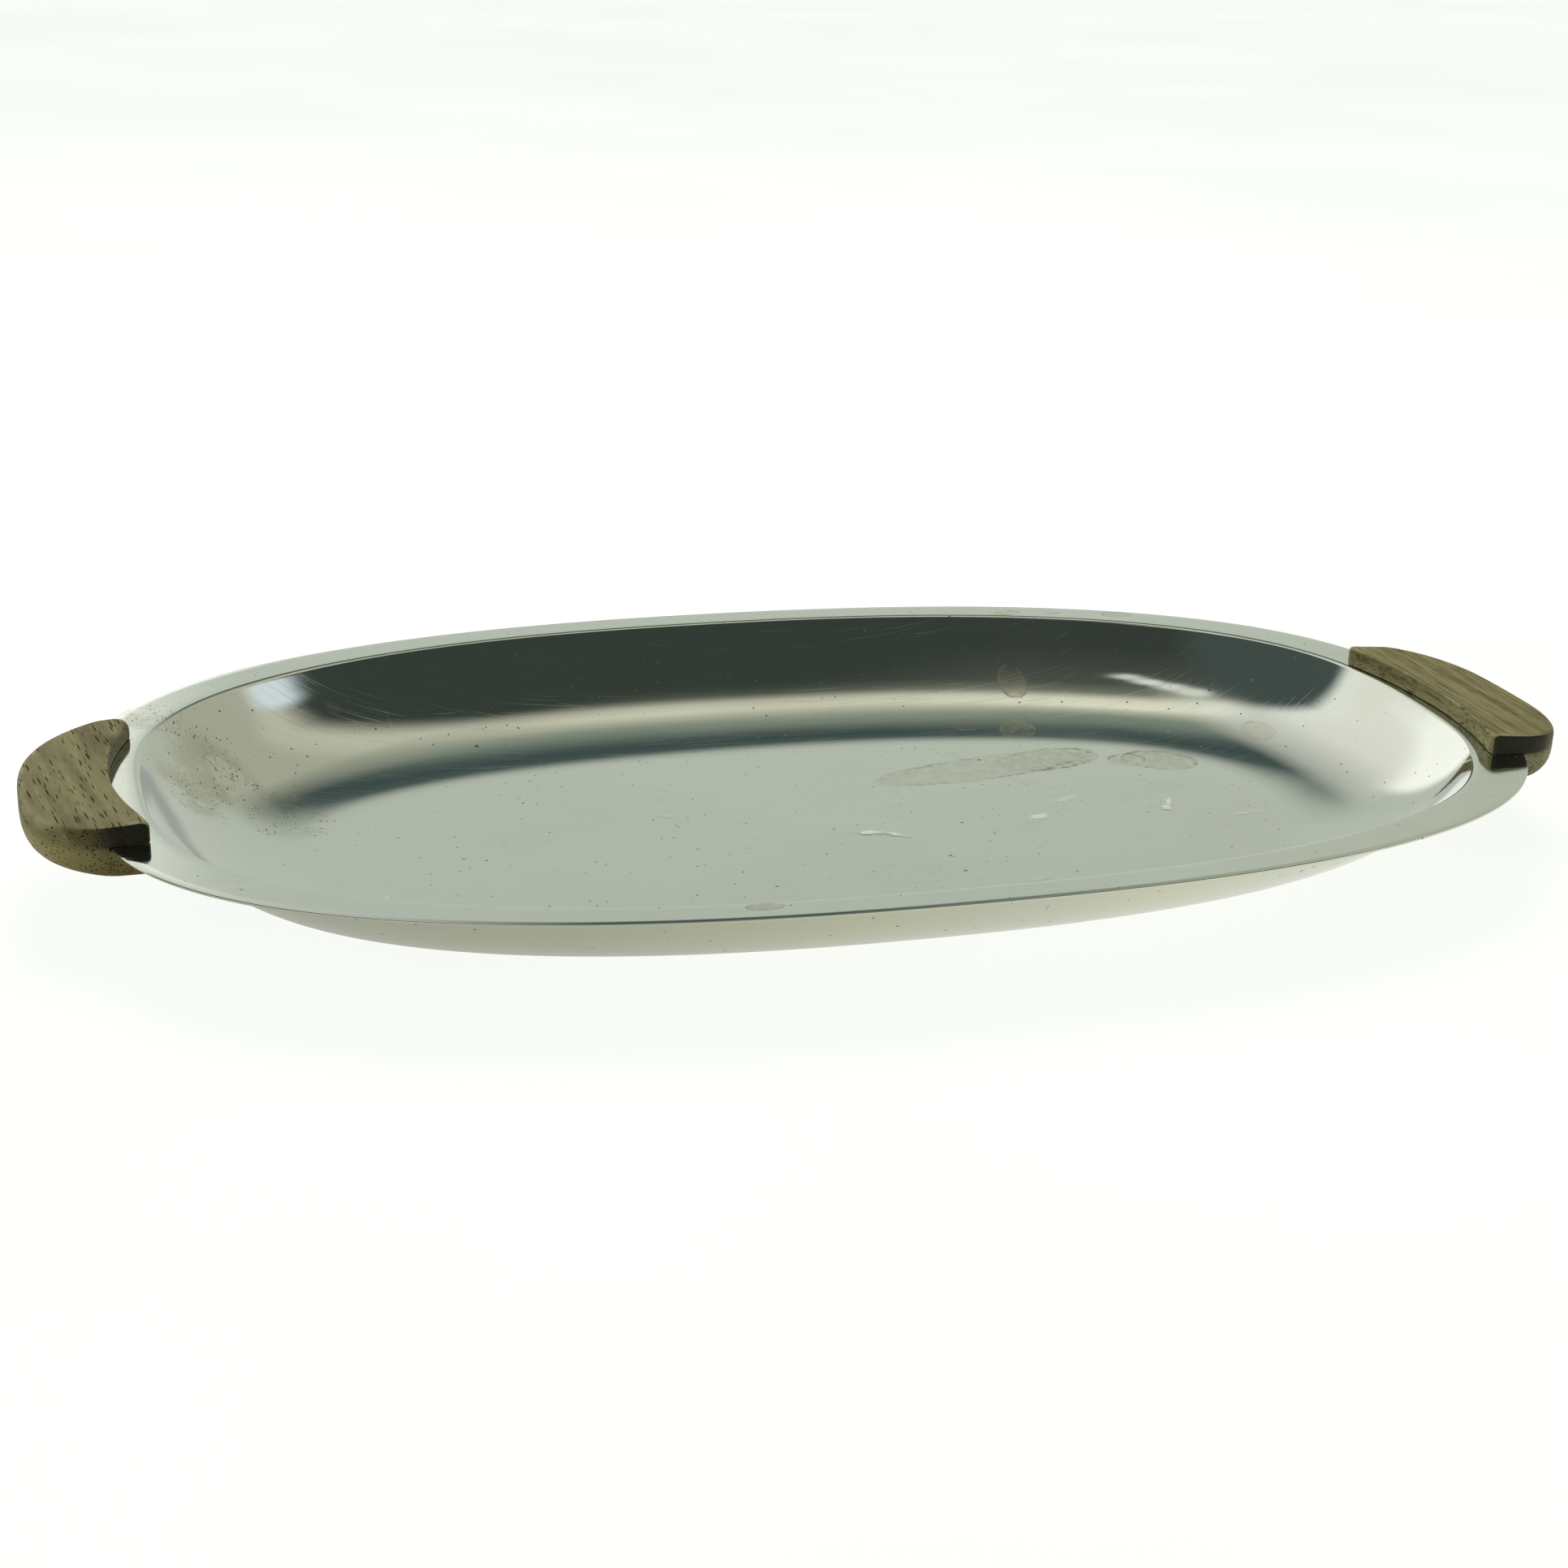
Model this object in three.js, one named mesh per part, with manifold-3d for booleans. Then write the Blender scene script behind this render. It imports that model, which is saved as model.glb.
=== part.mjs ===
// Oval serving tray: one pressed steel dish with a flat rim, a wooden handle slotted over
// each end of the rim, and two wood screws from beneath in each handle.
// Millimetres, +Z up, +X along the tray. The origin is the middle of the face it rests on.

import * as THREE from "three";
import { mergeVertices } from "three/addons/utils/BufferGeometryUtils.js";
import Module from "manifold-3d";

const wasm = await Module();
wasm.setup();

// ---- driving dimensions -------------------------------------------------------------

// The dish
const trayLength = 400; // rim end to rim end, without the handles
const trayWidth = 244;
const dishDepth = 28.2; // top of the rim down to the floor inside
const sheet = 0.8; // thickness of the steel
const rimWidthEnds = 12.6; // flat part of the rim at the tray's two ends
const rimWidthSides = 8.9; // and along its two sides
const rimCrestRadius = 3; // where the rim turns down into the wall
const floorRadius = 52; // where the wall runs out into the floor
const wallAngle = THREE.MathUtils.degToRad(57); // from the horizontal
const rimBow = 1.3; // the rim's two ends sit this much lower than its long sides
const edgeRound = 0.2; // broken edge of the sheet all round the rim

// How square the oval is: 2 is an ellipse, more is fuller. One value along X, one along Y.
const rimFullness = { x: 2.3, y: 2.85 };
const crestFullness = { x: 2.34, y: 2.71 };

// The handles. They are shaped by hand, so the two differ a little.
// side: -1 is the -X end; shift: place along Y; tuck: the inner corners stand this much
// nearer the tray's middle than the end of the rim's flat; hollow: how far the inner edge
// is scooped between them; overhang: beyond the rim's end
const leftHandle = { side: -1, shift: 0, length: 82, tuck: 2.1, hollow: 8.7, overhang: 17 };
const rightHandle = { side: 1, shift: -6, length: 87, tuck: 4.9, hollow: 6.3, overhang: 15 };
const handleFullness = 3; // of the outer curve, as for the oval
const handleTaper = 3.5; // the outer curve would close this far past each end cut
const lipAbove = 6.3; // wood over the rim
const topFall = THREE.MathUtils.degToRad(4.5); // the top slopes down to its outer edge
const lipBelow = 7.1; // wood under the rim
const handleRound = 5.5; // rounding of the outer edge, top and bottom
const slotGap = 0.3; // above and below the sheet in its slot
const slotEndGap = 0.4; // beyond the rim's edge in the slot

// The wood screws
const screwSpacing = 52; // between the two of one handle, along Y
const screwLength = 11;
const screwHeadRadius = 2.7;
const screwHeadHeight = 1.6;
const screwRadius = 1.5;
const screwTipLength = 3;
const screwSunk = 0.3; // head below the wood's underside
const screwGap = 0.3; // wood hole round the screw
const rimHoleGap = 0.5; // rim hole round the screw
const driverSlot = { width: 0.8, depth: 0.7 };

// How finely round shapes are divided
const ovalSegments = 96;
const filletSteps = 6;
const crestSteps = 3;
const handleSegments = 72;
const roundSteps = 5;
const scoopSteps = 20;
const screwSegments = 20;

// ---- derived heights and reaches ----------------------------------------------------

const halfLength = trayLength / 2;
const halfWidth = trayWidth / 2;
const rimTop = sheet + dishDepth;
const rimEndTop = rimTop - rimBow;
const crestReach = halfLength - rimWidthEnds;
const floorRound = Math.min(floorRadius, dishDepth / (1 - Math.cos(wallAngle)) - rimCrestRadius);
const wallDrop = dishDepth - (rimCrestRadius + floorRound) * (1 - Math.cos(wallAngle));
const wallRun = wallDrop / Math.tan(wallAngle);
const floorReach =
  crestReach - wallRun - (rimCrestRadius + floorRound) * Math.sin(wallAngle);
const handleBottom = rimEndTop - sheet - lipBelow;
const handleTop = rimEndTop + lipAbove;
const clearOfEverything = 10; // how far a cutter runs past what it cuts

// ---- materials ----------------------------------------------------------------------

function steelMaterial() {
  return new THREE.MeshStandardMaterial({ color: 0xb4bbb5, roughness: 0.16, metalness: 1 });
}

function woodMaterial() {
  return new THREE.MeshStandardMaterial({ color: 0x77694c, roughness: 0.62, metalness: 0 });
}

function screwMaterial() {
  return new THREE.MeshStandardMaterial({ color: 0x9a9a92, roughness: 0.35, metalness: 1 });
}

// ---- solids -------------------------------------------------------------------------

// A closed geometry as a solid that can be cut, its doubled points merged
function solidFrom(geometry) {
  const bare = geometry.clone();
  bare.deleteAttribute("normal");
  bare.deleteAttribute("uv");
  const merged = mergeVertices(bare, 1e-4);
  const corners = merged.index.array;
  const triangles = [];
  for (let i = 0; i < corners.length; i += 3) {
    const [a, b, c] = [corners[i], corners[i + 1], corners[i + 2]];
    if (a !== b && b !== c && c !== a) triangles.push(a, b, c);
  }
  return new wasm.Manifold(
    new wasm.Mesh({
      numProp: 3,
      vertProperties: merged.attributes.position.array,
      triVerts: new Uint32Array(triangles),
    }),
  );
}

function meshFrom(name, solid, material) {
  const made = solid.getMesh();
  const geometry = new THREE.BufferGeometry();
  geometry.setAttribute("position", new THREE.BufferAttribute(made.vertProperties, 3));
  geometry.setIndex(new THREE.BufferAttribute(made.triVerts, 1));
  geometry.computeVertexNormals();
  const mesh = new THREE.Mesh(geometry, material);
  mesh.name = name;
  return mesh;
}

// A profile of [radius, height] pairs turned about the vertical
function turned(profile, segments) {
  const points = profile.map(([radius, height]) => new THREE.Vector2(radius, height));
  return new THREE.LatheGeometry(points, segments).rotateX(Math.PI / 2);
}

// ---- the oval -----------------------------------------------------------------------

// How far along the direction (c, s) the curve |x|^px + |y|^py = 1 lies
function ovalStretch(c, s, fullness) {
  const cx = Math.abs(c) ** fullness.x;
  const sy = Math.abs(s) ** fullness.y;
  let t = 1;
  for (let step = 0; step < 8; step += 1) {
    const over = cx * t ** fullness.x + sy * t ** fullness.y - 1;
    const slope =
      fullness.x * cx * t ** (fullness.x - 1) + fullness.y * sy * t ** (fullness.y - 1);
    t -= over / slope;
  }
  return t;
}

// Spreads a turned shape onto an oval. ovalAt gives the oval's half sizes and fullness at a
// distance inside the turned edge; within the radius core the shape shrinks evenly.
function spreadToOval(geometry, edge, core, ovalAt) {
  const place = geometry.attributes.position;
  for (let i = 0; i < place.count; i += 1) {
    const [x, y] = [place.getX(i), place.getY(i)];
    const radius = Math.hypot(x, y);
    if (radius < 1e-6) continue;
    const ring = Math.max(radius, core);
    const oval = ovalAt(edge - ring);
    const stretch = ovalStretch(x / radius, y / radius, oval.fullness) / ring;
    place.setXY(i, oval.halfX * stretch * x, oval.halfY * stretch * y);
  }
  return geometry;
}

// ---- the dish -----------------------------------------------------------------------

// Points of an arc that leans from one slope to another, about a centre at a radius
function slopeArc(centre, radius, fromSlope, toSlope, steps) {
  const points = [];
  for (let i = 0; i <= steps; i += 1) {
    const slope = fromSlope + ((toSlope - fromSlope) * i) / steps;
    points.push([
      centre[0] + radius * Math.sin(slope),
      centre[1] - radius * Math.cos(slope),
    ]);
  }
  return points;
}

// The dish's outline at a distance inside the end of its rim
function dishOval(inward) {
  const { clamp, lerp } = THREE.MathUtils;
  const blend = clamp(inward / rimWidthEnds, 0, 1);
  return {
    halfX: halfLength - inward,
    halfY: halfWidth - inward + blend * (rimWidthEnds - rimWidthSides),
    fullness: {
      x: lerp(rimFullness.x, crestFullness.x, blend),
      y: lerp(rimFullness.y, crestFullness.y, blend),
    },
  };
}

// Spreads a turned section onto the dish's outline and lowers the ends of its rim
function dishShape(section) {
  const shape = turned(section, ovalSegments);
  spreadToOval(shape, halfLength, floorReach, dishOval);
  const place = shape.attributes.position;
  for (let i = 0; i < place.count; i += 1) {
    const z = place.getZ(i);
    const rise = THREE.MathUtils.clamp((z - sheet) / dishDepth, 0, 1);
    place.setZ(i, z - rimBow * rise * (place.getX(i) / halfLength) ** 2);
  }
  return solidFrom(shape);
}

// One face of the sheet, from the rim's edge inwards to the middle of the floor;
// below is its depth under the top face
function sheetFace(below) {
  const crestCentre = [crestReach, rimTop - rimCrestRadius];
  const floorCentre = [floorReach, sheet + floorRound];
  return [
    [halfLength - edgeRound, rimTop - below],
    ...slopeArc(crestCentre, below - rimCrestRadius, 0, wallAngle, crestSteps),
    ...slopeArc(floorCentre, floorRound + below, wallAngle, 0, filletSteps),
    [0, sheet - below],
  ];
}

function dishSolid(screws) {
  const edge = [
    [halfLength, rimTop - sheet + edgeRound],
    [halfLength, rimTop - edgeRound],
  ];
  const profile = [...sheetFace(sheet).reverse(), ...edge, ...sheetFace(0)];
  let dish = dishShape(profile);
  for (const place of screws) {
    const radius = screwRadius + rimHoleGap;
    const reach = sheet + clearOfEverything;
    const drill = new THREE.CylinderGeometry(radius, radius, reach, screwSegments)
      .rotateX(Math.PI / 2)
      .translate(place.x, place.y, rimEndTop);
    dish = dish.subtract(solidFrom(drill));
  }
  return dish;
}

// The space that the rim takes in a handle's slot, with its clearances
function rimSlotSolid() {
  const inner = crestReach - clearOfEverything;
  const outer = halfLength + slotEndGap;
  const low = rimTop - sheet - slotGap;
  const high = rimTop + slotGap;
  const section = [
    [inner, low],
    [outer, low],
    [outer, high],
    [inner, high],
    [inner, low],
  ];
  return dishShape(section);
}

// ---- the screws ---------------------------------------------------------------------

// How far from the tray's middle the rim's edge is, at a distance y from its long axis
function rimEdge(y) {
  return halfLength * (1 - Math.abs(y / halfWidth) ** rimFullness.y) ** (1 / rimFullness.x);
}

// The same for the inner corners of a handle, and for its scooped inner edge at y from the
// handle's own middle
function innerCorner(handle) {
  return crestReach - handle.tuck;
}

function innerEdge(handle, y) {
  const half = handle.length / 2;
  const radius = (half ** 2 + handle.hollow ** 2) / (2 * handle.hollow);
  return innerCorner(handle) + handle.hollow - radius + Math.sqrt(radius ** 2 - y ** 2);
}

// Each screw goes through the middle of the strip of rim that its handle covers
function screwPlaces(handle) {
  return ["front", "rear"].map((end, i) => {
    const along = (i - 0.5) * screwSpacing;
    const y = handle.shift + along;
    const x = (innerEdge(handle, along) + rimEdge(y)) / 2;
    return { name: end, x: handle.side * x, y };
  });
}

// Head down, point up; grown all round by gap, it is the hole in the wood
function screwProfile(gap) {
  const bottom = gap > 0 ? -clearOfEverything : 0;
  const shank = screwLength - screwTipLength;
  return [
    [0, bottom],
    [screwHeadRadius + gap, bottom],
    [screwHeadRadius + gap, 0],
    [screwRadius + gap, screwHeadHeight],
    [screwRadius + gap, shank + gap],
    [0, screwLength + gap],
  ];
}

function screwSolid() {
  const body = solidFrom(turned(screwProfile(0), screwSegments));
  const length = 2 * screwHeadRadius + clearOfEverything;
  const slot = new THREE.BoxGeometry(length, driverSlot.width, 2 * driverSlot.depth);
  return body.subtract(solidFrom(slot));
}

// ---- the handles --------------------------------------------------------------------

// The block before it is scooped and slotted: an oval slab with a rounded edge
function handleBlank(handle) {
  const halfY = handle.length / 2 + handleTaper;
  const start = innerCorner(handle) - clearOfEverything;
  const halfX = halfLength + handle.overhang - start;
  const height = handleTop - handleBottom;
  const round = Math.min(handleRound, height / 2 - slotGap);
  const section = [
    [0, handleBottom],
    ...slopeArc([halfY - round, handleBottom + round], round, 0, Math.PI / 2, roundSteps),
    ...slopeArc([halfY - round, handleTop - round], round, Math.PI / 2, Math.PI, roundSteps),
    [0, handleTop],
  ];
  const handleOval = (inward) => ({
    halfX: halfX - inward,
    halfY: halfY - inward,
    fullness: { x: handleFullness, y: handleFullness },
  });
  const slab = turned(section, handleSegments);
  return spreadToOval(slab, halfY, halfY - round, handleOval).translate(start, 0, 0);
}

// What the scoop takes from the handle's inner side
function scoopCutter(handle) {
  const half = handle.length / 2;
  const past = half + handleTaper;
  const outline = new THREE.Shape();
  outline.moveTo(0, -past);
  for (let i = 0; i <= scoopSteps; i += 1) {
    const y = past * ((2 * i) / scoopSteps - 1);
    outline.lineTo(innerEdge(handle, y), y);
  }
  outline.lineTo(0, past);
  const height = handleTop - handleBottom + 2 * clearOfEverything;
  return new THREE.ExtrudeGeometry(outline, { depth: height, bevelEnabled: false })
    .translate(0, 0, handleBottom - clearOfEverything);
}

// What falls away above a handle's sloping top, hinged on its inner corners
function topCutter(handle) {
  return new THREE.BoxGeometry(trayLength, 2 * handle.length, trayLength)
    .translate(0, 0, trayLength / 2)
    .rotateY(topFall)
    .translate(innerCorner(handle), 0, handleTop);
}

// Both handles are shaped at the +X end; the one at the -X end is then turned round
function handleSolid(handle, screws, rimSlot) {
  const ends = new THREE.BoxGeometry(trayLength, handle.length, 2 * trayLength)
    .translate(halfLength, 0, 0);
  const turn = new THREE.Matrix4().makeRotationZ(handle.side > 0 ? 0 : Math.PI);
  const place = new THREE.Matrix4().makeTranslation(0, handle.shift, 0).multiply(turn);
  const part = (geometry) => solidFrom(geometry.applyMatrix4(place));
  let wood = part(handleBlank(handle))
    .intersect(part(ends))
    .subtract(part(scoopCutter(handle)))
    .subtract(part(topCutter(handle)))
    .subtract(rimSlot);
  for (const screw of screws) {
    const hole = turned(screwProfile(screwGap), screwSegments)
      .translate(screw.x, screw.y, handleBottom + screwSunk);
    wood = wood.subtract(solidFrom(hole));
  }
  return wood;
}

// ---- the tray -----------------------------------------------------------------------

const tray = new THREE.Group();
const rimSlot = rimSlotSolid();
const allScrews = [leftHandle, rightHandle].flatMap(screwPlaces);

tray.add(meshFrom("tray_dish", dishSolid(allScrews), steelMaterial()));

for (const [end, handle] of [["left", leftHandle], ["right", rightHandle]]) {
  const screws = screwPlaces(handle);
  const wood = handleSolid(handle, screws, rimSlot);
  tray.add(meshFrom(`${end}_handle`, wood, woodMaterial()));
  for (const screw of screws) {
    const mesh = meshFrom(`${end}_screw_${screw.name}`, screwSolid(), screwMaterial());
    mesh.position.set(screw.x, screw.y, handleBottom + screwSunk);
    tray.add(mesh);
  }
}

export default tray;
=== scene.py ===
import math
import bmesh
import bpy
from mathutils import Matrix, Vector, noise


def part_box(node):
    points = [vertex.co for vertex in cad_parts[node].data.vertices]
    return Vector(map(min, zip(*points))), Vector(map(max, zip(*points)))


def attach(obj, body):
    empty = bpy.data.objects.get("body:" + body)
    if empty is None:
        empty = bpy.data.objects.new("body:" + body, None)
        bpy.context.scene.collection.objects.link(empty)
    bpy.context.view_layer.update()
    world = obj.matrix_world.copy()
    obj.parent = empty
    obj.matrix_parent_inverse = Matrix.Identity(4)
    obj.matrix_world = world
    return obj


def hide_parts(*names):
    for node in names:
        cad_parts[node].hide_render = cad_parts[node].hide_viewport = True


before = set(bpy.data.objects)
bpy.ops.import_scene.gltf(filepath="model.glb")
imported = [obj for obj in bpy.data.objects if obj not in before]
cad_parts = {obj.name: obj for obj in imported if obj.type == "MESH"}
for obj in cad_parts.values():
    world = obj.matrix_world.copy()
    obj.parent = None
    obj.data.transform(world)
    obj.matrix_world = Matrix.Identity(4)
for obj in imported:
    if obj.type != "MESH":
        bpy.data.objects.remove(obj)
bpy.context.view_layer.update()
print("frame loaded:", ", ".join(sorted(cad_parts)))

scene = bpy.context.scene
scene.view_settings.view_transform = "Standard"
scene.cycles.use_denoising = True


noiseSpan = (0.3, 0.7)  # nearly all of a noise texture's values lie between these
sealGap = 4e-6


# small helpers for node trees: a socket takes a node, another socket or a plain value

def plug(tree, socket, value):
    if isinstance(value, bpy.types.Node):
        value = value.outputs[0]
    if isinstance(value, bpy.types.NodeSocket):
        tree.links.new(value, socket)
    else:
        socket.default_value = value


def addNode(tree, kind, plugs=None, **settings):
    node = tree.nodes.new(kind)
    for name, value in settings.items():
        setattr(node, name, value)
    for name, value in (plugs or {}).items():
        plug(tree, node.inputs[name], value)
    return node


def calc(tree, operation, *values):
    node = tree.nodes.new("ShaderNodeMath")
    node.operation = operation
    for socket, value in zip(node.inputs, values):
        plug(tree, socket, value)
    return node.outputs[0]


def remap(tree, value, low, high, start=0.0, end=1.0):
    if isinstance(low, (int, float)) and low > high:
        low, high, start, end = high, low, end, start
    plugs = {"Value": value, "From Min": low, "From Max": high, "To Min": start, "To Max": end}
    return addNode(tree, "ShaderNodeMapRange", plugs, interpolation_type="SMOOTHSTEP").outputs[0]


def mixColor(tree, factor, first, second, mode="MIX"):
    node = tree.nodes.new("ShaderNodeMix")
    node.data_type = "RGBA"
    node.blend_type = mode
    for index, value in ((0, factor), (6, first), (7, second)):
        plug(tree, node.inputs[index], value)
    return node.outputs[2]


def times(tree, first, second):
    return calc(tree, "MULTIPLY", first, second)


def makeNoise(tree, vector, scale=1.0, detail=2.0, roughness=0.5, distortion=0.0):
    plugs = {"Vector": vector, "Scale": scale, "Detail": detail}
    plugs.update({"Roughness": roughness, "Distortion": distortion})
    return addNode(tree, "ShaderNodeTexNoise", plugs)


def vectorMath(tree, operation, first, second):
    node = addNode(tree, "ShaderNodeVectorMath", operation=operation)
    plug(tree, node.inputs[0], first)
    plug(tree, node.inputs[1], second)
    return node


def stretched(tree, vector, scale):
    return addNode(tree, "ShaderNodeMapping", {"Vector": vector, "Scale": scale}).outputs[0]


def splitVector(tree, vector):
    return addNode(tree, "ShaderNodeSeparateXYZ", {"Vector": vector}).outputs


def newGroup(name, inputs, outputs, kind="ShaderNodeTree"):
    group = bpy.data.node_groups.new(name, kind)
    for label, (socketType, value) in inputs.items():
        socket = group.interface.new_socket(label, in_out="INPUT", socket_type=socketType)
        if value is not None:
            socket.default_value = value
    for label, socketType in outputs.items():
        group.interface.new_socket(label, in_out="OUTPUT", socket_type=socketType)
    start = group.nodes.new("NodeGroupInput").outputs
    end = group.nodes.new("NodeGroupOutput").inputs
    return group, start, end


def useGroup(tree, group, plugs):
    node = tree.nodes.new("ShaderNodeGroup")
    node.node_tree = group
    for name, value in plugs.items():
        plug(tree, node.inputs[name], value)
    return node


def newMaterial(name):
    material = bpy.data.materials.new(name)
    material.use_nodes = True
    tree = material.node_tree
    tree.nodes.clear()
    shader = tree.nodes.new("ShaderNodeBsdfPrincipled")
    output = tree.nodes.new("ShaderNodeOutputMaterial")
    tree.links.new(shader.outputs[0], output.inputs["Surface"])
    place = tree.nodes.new("ShaderNodeTexCoord").outputs["Object"]
    return material, tree, shader, place


def newPiece(name, mesh):
    piece = bpy.data.objects.new(name, mesh)
    scene.collection.objects.link(piece)
    return piece


def settle(piece):
    graph = bpy.context.evaluated_depsgraph_get()
    plain = bpy.data.meshes.new_from_object(piece.evaluated_get(graph), depsgraph=graph)
    piece.modifiers.clear()
    piece.data = plain


def faceOutwards(mesh):
    shape = bmesh.new()
    shape.from_mesh(mesh)
    if shape.calc_volume(signed=True) < 0:
        bmesh.ops.reverse_faces(shape, faces=shape.faces)
    shape.to_mesh(mesh)
    shape.free()


def addTree(piece, tree, values):
    modifier = piece.modifiers.new(tree.name, "NODES")
    modifier.node_group = tree
    for item in tree.interface.items_tree:
        if item.in_out == "INPUT" and item.name in values:
            modifier[item.identifier] = values[item.name]


# camera

view = {
    "turn": math.radians(-17.54),
    "height": math.radians(20.27),
    "roll": math.radians(2.08),
    "distance": 0.6959,
    "lookAt": (-0.0217, -0.0341),
    "lens": 60.11,
    "sensor": 36.0,
}


def makeCamera(lookHeight):
    turn, height, roll = view["turn"], view["height"], view["roll"]
    back = Vector((math.sin(turn) * math.cos(height), -math.cos(turn) * math.cos(height), math.sin(height)))
    level = back.cross(Vector((0, 0, -1))).normalized()
    upright = back.cross(level)
    right = math.cos(roll) * level + math.sin(roll) * upright
    up = math.cos(roll) * upright - math.sin(roll) * level
    place = Vector((*view["lookAt"], lookHeight)) + back * view["distance"]
    lens = bpy.data.cameras.new("camera")
    lens.lens = view["lens"]
    lens.sensor_width = view["sensor"]
    lens.clip_start = 0.01
    camera = newPiece("camera", lens)
    axes = Matrix((right, up, back)).transposed()
    camera.matrix_world = Matrix.Translation(place) @ axes.to_4x4()
    scene.camera = camera


dishLow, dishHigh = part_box("tray_dish")
makeCamera(dishHigh.z)
print("camera set")


# studio: a pale floor and backdrop, a long soft light overhead, a soft box at each side and a dim room

studio = {
    "floorSize": 8.0,
    "floorColor": (0.975, 1.0, 0.955, 1),
    "floorBase": (0.13, 0.13, 0.13, 1),
    "floorRoughness": 0.9,
    "floorMottle": {"scale": 3.0, "least": 0.97},
    # how bright the floor glows to the camera, and to the light that falls on other things
    "floorGlow": 0.94,
    "floorBounce": 0.45,
    # how the floor shows in the metal: from x, to x, least, most, and what is left of it further back
    "floorMirrored": (-0.14, 0.16, 0.50, 0.88),
    "floorBeyond": (0.11, 0.17, 1.0, 0.58),
    "background": (0.99, 1.0, 0.97, 1),
    "behindFrom": (128, 150),
    "behindColor": (0.60, 0.63, 0.58, 1),
    # how bright the middle strip is from the far horizon (0) over the top to the camera's side (180)
    "arch": [
        (0, (0.67, 0.71, 0.63)),
        (22, (0.65, 0.70, 0.62)),
        (27, (0.56, 0.60, 0.53)),
        (31, (0.34, 0.38, 0.34)),
        (35, (0.095, 0.130, 0.125)),
        (42, (0.065, 0.098, 0.098)),
        (48, (0.105, 0.14, 0.13)),
        (56, (0.23, 0.28, 0.24)),
        (63, (0.30, 0.35, 0.29)),
        (68, (0.62, 0.63, 0.50)),
        (72, (1.12, 1.07, 0.90)),
        (78, (1.0, 0.95, 0.78)),
        (84, (0.24, 0.25, 0.20)),
        (92, (0.10, 0.11, 0.095)),
        (120, (0.055, 0.065, 0.058)),
        (165, (0.05, 0.06, 0.05)),
        (180, (0.30, 0.31, 0.28)),
    ],
    "archSides": (-22, -11, 9, 18),
    "archFullBelow": 40,
    "darkLeft": (0.080, 0.105, 0.100, 1),
    "darkRight": (0.052, 0.066, 0.057, 1),
    "darkTurn": (-12, 8),
    # the soft boxes: where their low part ends, how soft the upper edge is, and the band under it
    "boxLow": (34, 22),
    "boxSoft": 6,
    "boxTop": (-20, -8),
    # a soft box at each side: where it starts, how it fills, and the height of its upper edge
    "leftBox": {
        "fill": [(3, 0.0), (9, 0.48), (13, 0.62), (24, 0.92), (36, 1.0)],
        "lowFill": (12, 17),
        "edge": (62, 35, -0.85),
        "color": (1.10, 1.08, 1.0, 1),
        "lowColor": (1.42, 1.41, 1.34, 1),
        "topColor": (1.12, 1.12, 1.05, 1),
    },
    "rightBox": {
        "fill": [(5, 0.0), (10, 0.45), (16, 1.0)],
        "lowFill": (8, 16),
        "edge": (76, 35, 0.55),
        "color": (0.57, 0.57, 0.46, 1),
        "lowColor": (0.64, 0.66, 0.56, 1),
        "topColor": (0.74, 0.72, 0.59, 1),
    },
    "lampSoft": (1.6, 0.5),
    # small lamps: angle round the arch, angle to the side, size, color
    "lamps": [
        (98, -2.5, 2.0, (0.85, 0.90, 0.85, 1)),
        (94.5, -5, 2.2, (1.0, 1.05, 1.0, 1)),
        (91, -8, 2.6, (1.0, 1.03, 0.95, 1)),
        (87, -11, 3.2, (0.95, 0.97, 0.88, 1)),
        (82.5, 52, 5.5, (0.95, 1.06, 1.15, 1)),
    ],
    "topLight": {"place": (0.15, 0.75, 1.15), "size": 0.9, "power": 14.0, "color": (1.0, 0.985, 0.94)},
    "sideLight": {"place": (-1.3, -0.05, 0.45), "size": 0.7, "power": 7.0, "color": (1.0, 1.0, 0.96)},
}


def rampOf(tree, place, steps, span):
    ramp = addNode(tree, "ShaderNodeValToRGB", {"Fac": place})
    stops = ramp.color_ramp.elements
    for index, (degrees, color) in enumerate(steps):
        stop = stops[index] if index < 2 else stops.new(degrees / span)
        stop.position = degrees / span
        stop.color = (*color, 1)
    return ramp.outputs[0]


def makeFloor():
    half = studio["floorSize"] / 2
    corners = [(-half, -half, 0), (half, -half, 0), (half, half, 0), (-half, half, 0)]
    mesh = bpy.data.meshes.new("floor")
    mesh.from_pydata(corners, [], [(0, 1, 2, 3)])
    material, tree, shader, place = newMaterial("paleFloor")
    mottle = makeNoise(tree, place, studio["floorMottle"]["scale"])
    shade = remap(tree, mottle, *noiseSpan, studio["floorMottle"]["least"], 1.0)
    tinted = mixColor(tree, 1.0, studio["floorColor"], shade, "MULTIPLY")
    light = tree.nodes.new("ShaderNodeLightPath").outputs
    spot = splitVector(tree, place)
    mirrored = remap(tree, spot["X"], *studio["floorMirrored"])
    mirrored = times(tree, mirrored, remap(tree, spot["Y"], *studio["floorBeyond"]))
    glow = times(tree, light["Is Camera Ray"], studio["floorGlow"])
    glow = calc(tree, "MULTIPLY_ADD", light["Is Glossy Ray"], mirrored, glow)
    glow = calc(tree, "MULTIPLY_ADD", light["Is Diffuse Ray"], studio["floorBounce"], glow)
    plug(tree, shader.inputs["Base Color"], mixColor(tree, 1.0, tinted, studio["floorBase"], "MULTIPLY"))
    shader.inputs["Roughness"].default_value = studio["floorRoughness"]
    shader.inputs["Specular IOR Level"].default_value = 0.0
    plug(tree, shader.inputs["Emission Color"], tinted)
    plug(tree, shader.inputs["Emission Strength"], glow)
    mesh.materials.append(material)
    newPiece("floor", mesh)


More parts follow.
